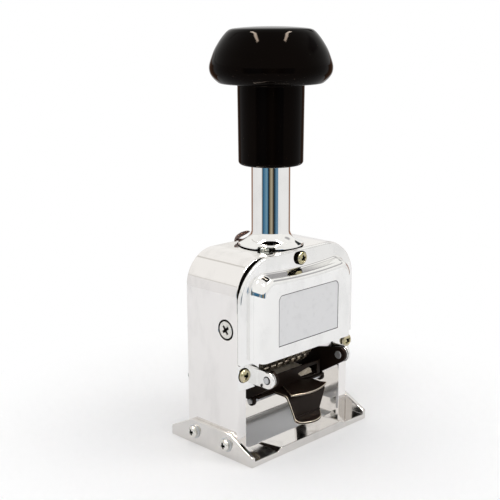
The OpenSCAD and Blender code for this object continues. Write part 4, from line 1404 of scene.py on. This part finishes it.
@dataclass
class InkPad:
    """The pad holder on its ears, with the tray and the felt."""

    pad_half_w: float = 15.0
    pad_back: float = 4.0
    pad_d: float = 15.0
    pad_low: float = 23.4
    pad_t: float = 3.2
    worn_from: float = -15.0
    worn_half: float = 12.5
    pivot_y: float = -21.0
    pivot_z: float = 32.8
    pin_ring: tuple[float, ...] = (1.2, 1.72, 23.95, 0.15)
    ear_ring: tuple[float, ...] = (2.6, 3.46, 22.5, 0.34)
    ear_screw_z: float = 35.6

    def felt(self) -> bpy.types.Object:
        """The felt: a block with round edges whose skin rises and falls with seeded tufts."""
        rng = np.random.default_rng(7)
        u, v = np.meshgrid(np.linspace(-1, 1, 61), np.linspace(-1, 1, 41), indexing="ij")
        across, along = self.pad_half_w - 0.1, self.pad_d / 2 - 0.1
        x, y = across * np.sign(u) * np.abs(u) ** 0.92, along * np.sign(v) * np.abs(v) ** 0.92
        fall = np.clip(1 - np.abs(u) ** 14, 0, 1) * np.clip(1 - np.abs(v) ** 12, 0, 1)
        fuzz = rng.normal(0, 0.03, u.shape) * fall
        top = self.pad_low + 0.35 + (self.pad_t - 0.5) * fall**0.35 + fuzz
        low = self.pad_low + 0.35 - 0.3 * fall**0.35
        centre_y = self.pad_back - self.pad_d / 2
        skins = [np.stack([x, y + centre_y, z], -1).reshape(-1, 3) for z in (top, low)]
        faces = grid_faces(61, 41)
        return new_object("felt_pad", joined([(skins[0], faces), (skins[1], [f[::-1] for f in faces])]), 60.0)

    def worn(self, piece: bpy.types.Object) -> bpy.types.Object:
        """Keeps the worn rim to the two finger tabs: edges behind them stay lacquered."""
        mesh = piece.data
        index = np.zeros(len(mesh.polygons), np.int32)
        centre = np.empty(3 * len(mesh.polygons))
        mesh.polygons.foreach_get("material_index", index)
        mesh.polygons.foreach_get("center", centre)
        index[(centre[1::3] > self.worn_from * MM) | (np.abs(centre[::3]) > self.worn_half * MM)] = 0
        mesh.polygons.foreach_set("material_index", index)
        return piece

    def pivot_shades(self) -> bpy.types.Object:
        """The dark rings round the pivot pins' ends and between each ear and its washer.

        Each is given as its inner and outer radius, its place along x and its thickness.
        """
        parts = []
        for inner, outer, x, thick in (self.pin_ring, self.ear_ring):
            for side in (-1, 1):
                place = facing((side, 0, 0), (side * x, self.pivot_y, self.pivot_z))
                parts.append(moved(ring(inner, outer, 0, thick), place))
        return new_object("pivot_shades", joined(parts))

    def build(self) -> None:
        """Makes the ears, pins, holder, tray and felt."""
        for side in ("left", "right"):
            dress(f"ear_{side}", 0.2, SHEET, Body.FRAME)
            dress(f"guide_rail_{side}", 0.2, STEEL, Body.FRAME)
        strip_x = SIZES.frame_w / 2 - SIZES.strip_w / 2
        y, z = SIZES.front - 1.2, self.ear_screw_z
        places = [facing((0, -1, 0), (x, y, z), 12.0 + x) for x in (-strip_x, strip_x)]
        maker = Fastener(head_r=2.75)
        publish(maker.set_at("ear_screws_dressed", places), ZINC, Body.FRAME, "ear_screws")
        # A ring of painted shade round each ear screw's head, and a dark fill of painted shade in its recess.
        publish(maker.shades("ear_screw_shade_rings", places, rim=0.3, high=0.2), PAINTED_GAP_SHADE, Body.FRAME)
        dress("pivot_pins", 0.15, STEEL, Body.FRAME)
        dress("pivot_washers", 0.1, SHEET, Body.FRAME)
        publish(self.pivot_shades(), PAINTED_GAP_SHADE, Body.FRAME)
        holder = self.worn(from_cad("pad_holder", 0.2, True))
        publish(holder, LACQUER, Body.HOLDER, "pad_holder", rim=WORN_EDGE)
        dress("holder_pin", 0.15, STEEL, Body.HOLDER)
        publish(self.worn(from_cad("pad_tray", 0.2, True)), LACQUER, Body.TRAY, "pad_tray", rim=WORN_EDGE)
        pad = publish(self.felt(), FELT, Body.TRAY, "ink_pad")


@dataclass
class Selector:
    """The lever on the back cover that chooses how often a number repeats."""

    def build(self) -> None:
        """Makes the lever and its pin."""
        dress("selector_lever", 0.2, STEEL, Body.SELECTOR)
        place = facing((0, 1, 0), (0, SIZES.rear + 1.2, 60.0), 25.0)
        pin = Fastener(head_r=2.6, head_h=1.2, shank_r=1.5, shank=3.6).set_at("selector_pin_dressed", [place])
        publish(pin, ZINC, Body.FRAME, "selector_pin")


# ------------------------------------------------------------------ studio


# The tent's colours, and its lower band: stops along the place t round the machine, where the pale
# cloth is broken by a brown fold on either side behind the machine and by a blue and dark gap
# behind the camera.
PALE = (0.90, 0.895, 0.89)
BLUE = (0.05, 0.17, 0.30)
NAVY = (0.015, 0.05, 0.08)
BROWN = (0.30, 0.16, 0.10)
DARK = (0.010, 0.009, 0.008)
LOW_BAND = [
    (0.0, PALE), (0.045, PALE), (0.06, BROWN), (0.12, BROWN), (0.14, (0.86, 0.85, 0.85)), (0.34, PALE),
    (0.361, NAVY), (0.385, BLUE), (0.43, (0.17, 0.32, 0.42)), (0.45, BLUE), (0.458, DARK), (0.47, DARK),
    (0.485, (0.24, 0.20, 0.13)), (0.51, (0.46, 0.40, 0.29)), (0.53, (0.20, 0.16, 0.11)), (0.54, DARK),
    (0.55, DARK), (0.56, NAVY), (0.595, (0.14, 0.28, 0.42)), (0.61, BLUE), (0.625, PALE), (0.85, PALE),
    (0.87, BROWN), (0.93, BROWN), (0.95, PALE),
]
WHITE = (1.0, 0.99, 0.965)
SEAM = (0.66, 0.64, 0.60)
SMOKE = (0.42, 0.41, 0.42)
TEAL = (0.012, 0.020, 0.020)


@dataclass
class Studio:
    """A pale floor, a light tent and the camera of the photograph."""

    azimuth: float = 44.904
    pitch: float = 12.997
    roll: float = -0.183
    focal_px: float = 968.989
    image_px: float = 500.0
    distance: float = 406.858
    target_z: float = 78.979
    target_right: float = -8.693
    floor_r: float = 330.0
    strip_power: float = 110.0

    def axes(self) -> tuple[Array, Array, Array]:
        """The camera's right, up and back directions."""
        a, e, roll = (math.radians(v) for v in (self.azimuth, self.pitch, self.roll))
        back = np.array([-math.sin(a) * math.cos(e), -math.cos(a) * math.cos(e), math.sin(e)])
        right = np.array([math.cos(a), -math.sin(a), 0.0])
        up = np.cross(back, right)
        across = math.cos(roll) * right + math.sin(roll) * up
        return across, math.cos(roll) * up - math.sin(roll) * right, back

    def camera(self) -> None:
        """Stands the camera where the photograph was taken."""
        right, up, back = self.axes()
        target = np.array([0.0, 0.0, self.target_z]) + self.target_right * self.level()[0]
        data = bpy.data.cameras.new("camera")
        data.sensor_width = 36.0
        data.lens = self.focal_px / self.image_px * data.sensor_width
        data.clip_start = 0.01
        camera = bpy.data.objects.new("camera", data)
        bpy.context.scene.collection.objects.link(camera)
        where = (target + self.distance * back) * MM
        matrix = Matrix(np.column_stack([right, up, back]).tolist()).to_4x4()
        camera.matrix_world = Matrix.Translation(Vector(where)) @ matrix
        bpy.context.scene.camera = camera

    def level(self) -> tuple[Array, Array]:
        """The level directions to the camera's right and towards the camera."""
        a = math.radians(self.azimuth)
        return np.array([math.cos(a), -math.sin(a), 0.0]), np.array([-math.sin(a), -math.cos(a), 0.0])

    def floor(self) -> None:
        """Lays a round pale floor whose far parts melt into the white behind it."""
        angle = np.linspace(0, 2 * math.pi, 96, endpoint=False)
        circle = self.floor_r * np.array([np.cos(angle), np.sin(angle)])
        piece = new_object("floor", (level_loop(circle.T, -0.02), [list(range(96))]))
        material = bpy.data.materials.new("floor_paper")
        material.use_nodes = True
        graph = Graph(material.node_tree)
        where = graph.place()
        grain = graph.noise(where, 900.0)
        paper = graph.node(
            "ShaderNodeBsdfPrincipled",
            {},
            {"Base Color": (0.93, 0.93, 0.93, 1.0), "Roughness": grain * 0.1 + 0.85},
        )
        away = graph.node("ShaderNodeVectorMath", {"operation": "LENGTH"}, {0: where}, "Value")
        direct = graph.node("ShaderNodeLightPath", {}, {}, "Is Camera Ray")
        glow = graph.node("ShaderNodeEmission", {}, {"Color": (1.0, 1.0, 1.0, 1.0), "Strength": 1.0})
        fading = direct * away.rise(0.045, 0.15)
        surface = graph.node("ShaderNodeMixShader", {}, {0: fading, 1: paper, 2: glow})
        graph.node("ShaderNodeOutputMaterial", {}, {"Surface": surface})
        piece.data.materials.append(material)

    def lamp(self, name: str, at: tuple[float, float, float], size: float, power: float) -> None:
        """Hangs one soft square lamp that looks at the machine's middle and isn't mirrored.

        Args:
            name: The lamp's name.
            at: Its place in metres.
            size: Its side in metres.
            power: Its power in watts.
        """
        data = bpy.data.lights.new(name, "AREA")
        data.size = size
        data.energy = power
        lamp = bpy.data.objects.new(name, data)
        lamp.visible_glossy = False
        bpy.context.scene.collection.objects.link(lamp)
        aim = Vector((0, 0, 0.08)) - Vector(at)
        lamp.matrix_world = Matrix.Translation(Vector(at)) @ aim.to_track_quat("-Z", "Y").to_matrix().to_4x4()

    def mirrored(self, graph: Graph) -> Port:
        """What bright metal mirrors: a white tent with seams, a blue and dark gap in front, two strips.

        The place round the machine is t, from 0.25 at the left over 0.5 at the camera to 0.75 at the right.

        Args:
            graph: The world's node tree.

        Returns:
            The mirrored light.
        """
        right, ahead = self.level()
        where = graph.node("ShaderNodeTexCoord", {}, {}, "Generated")
        dot = {"operation": "DOT_PRODUCT"}
        aside = graph.node("ShaderNodeVectorMath", dot, {0: where, 1: right.tolist()}, "Value")
        near = graph.node("ShaderNodeVectorMath", dot, {0: where, 1: ahead.tolist()}, "Value")
        height = graph.node("ShaderNodeSeparateXYZ", {}, {0: where}, 2)
        t = aside.math("ARCTAN2", aside, near) * (0.5 / math.pi) + 0.5
        low = graph.ramp(t, LOW_BAND)
        ahead_only = t.band(0.30, 0.70, 0.04)
        high = graph.mix(height.rise(0.17, 0.22) + ahead_only, PALE, WHITE)
        sides = graph.mix(height.rise(0.09, 0.14), low, high)
        hem = height.band(0.185, 0.212, 0.008) * (1.0 - t.rise(0.30, 0.38))
        upright = t.band(0.128, 0.142, 0.004) * height.rise(0.5, 0.56)
        hemmed = graph.mix(hem + upright, sides, SEAM)
        corner = t.band(0.76, 0.86, 0.02) * height.band(0.46, 0.64, 0.05)
        smoked = graph.mix(corner, hemmed, SMOKE)
        behind = t.band(0.93, 0.988, 0.003) * height.band(0.33, 0.48, 0.02)
        cornered = graph.mix(behind, smoked, TEAL)
        tent = graph.mix(height.rise(0.86, 0.93), cornered, (1.0, 0.985, 0.97))
        cloth = graph.noise(where, 3.0, 2.0) * 0.10 + 0.92
        shaded = graph.node("ShaderNodeVectorMath", {"operation": "SCALE"}, {0: tent, "Scale": cloth})
        steep = height.math("MAXIMUM", height, 0.01)
        across = abs(aside / steep).band(0.36, 0.43, 0.02)
        along = (near / steep).band(-0.34, 0.34, 0.03)
        wall = graph.node("ShaderNodeBackground", {}, {"Color": shaded, "Strength": 1.0})
        warm = {"Color": (1.0, 0.90, 0.78, 1.0), "Strength": self.strip_power}
        strip = graph.node("ShaderNodeBackground", {}, warm)
        return graph.node("ShaderNodeMixShader", {}, {0: across * along, 1: wall, 2: strip})

    def world(self) -> None:
        """Surrounds the machine with even light, the tent that its metal mirrors, and white behind it."""
        world = bpy.data.worlds.new("tent")
        bpy.context.scene.world = world
        world.use_nodes = True
        graph = Graph(world.node_tree)
        seen = graph.node("ShaderNodeLightPath", {}, {}, "Is Camera Ray")
        glossy = graph.node("ShaderNodeLightPath", {}, {}, "Is Glossy Ray")
        white = graph.node("ShaderNodeBackground", {}, {"Color": (1.0, 1.0, 1.0, 1.0), "Strength": 1.0})
        plain = graph.node("ShaderNodeBackground", {}, {"Color": (0.92, 0.92, 0.93, 1.0), "Strength": 0.85})
        light = graph.node("ShaderNodeMixShader", {}, {0: glossy, 1: plain, 2: self.mirrored(graph)})
        both = graph.node("ShaderNodeMixShader", {}, {0: seen, 1: light, 2: white})
        graph.node("ShaderNodeOutputWorld", {}, {"Surface": both})

    def build(self) -> None:
        """Sets the scene round the machine."""
        self.camera()
        self.floor()
        self.world()
        self.lamp("left_lamp", (-0.55, -0.15, 0.55), 0.35, 1.2)
        self.lamp("right_lamp", (0.45, -0.45, 0.5), 0.3, 0.8)
        bpy.context.scene.view_settings.view_transform = "Standard"


def main() -> None:
    """Builds the machine and the studio; the imported solids that pieces stand for stay in the scene, hidden.
    """
    logging.basicConfig(level=logging.INFO, format="%(message)s")
    for assembly in (Base(), Shell(), Neck(), Knob(), Works(), InkPad(), Selector(), Studio()):
        LOG.info("building %s", type(assembly).__name__)
        assembly.build()


if __name__ == "__main__":
    main()
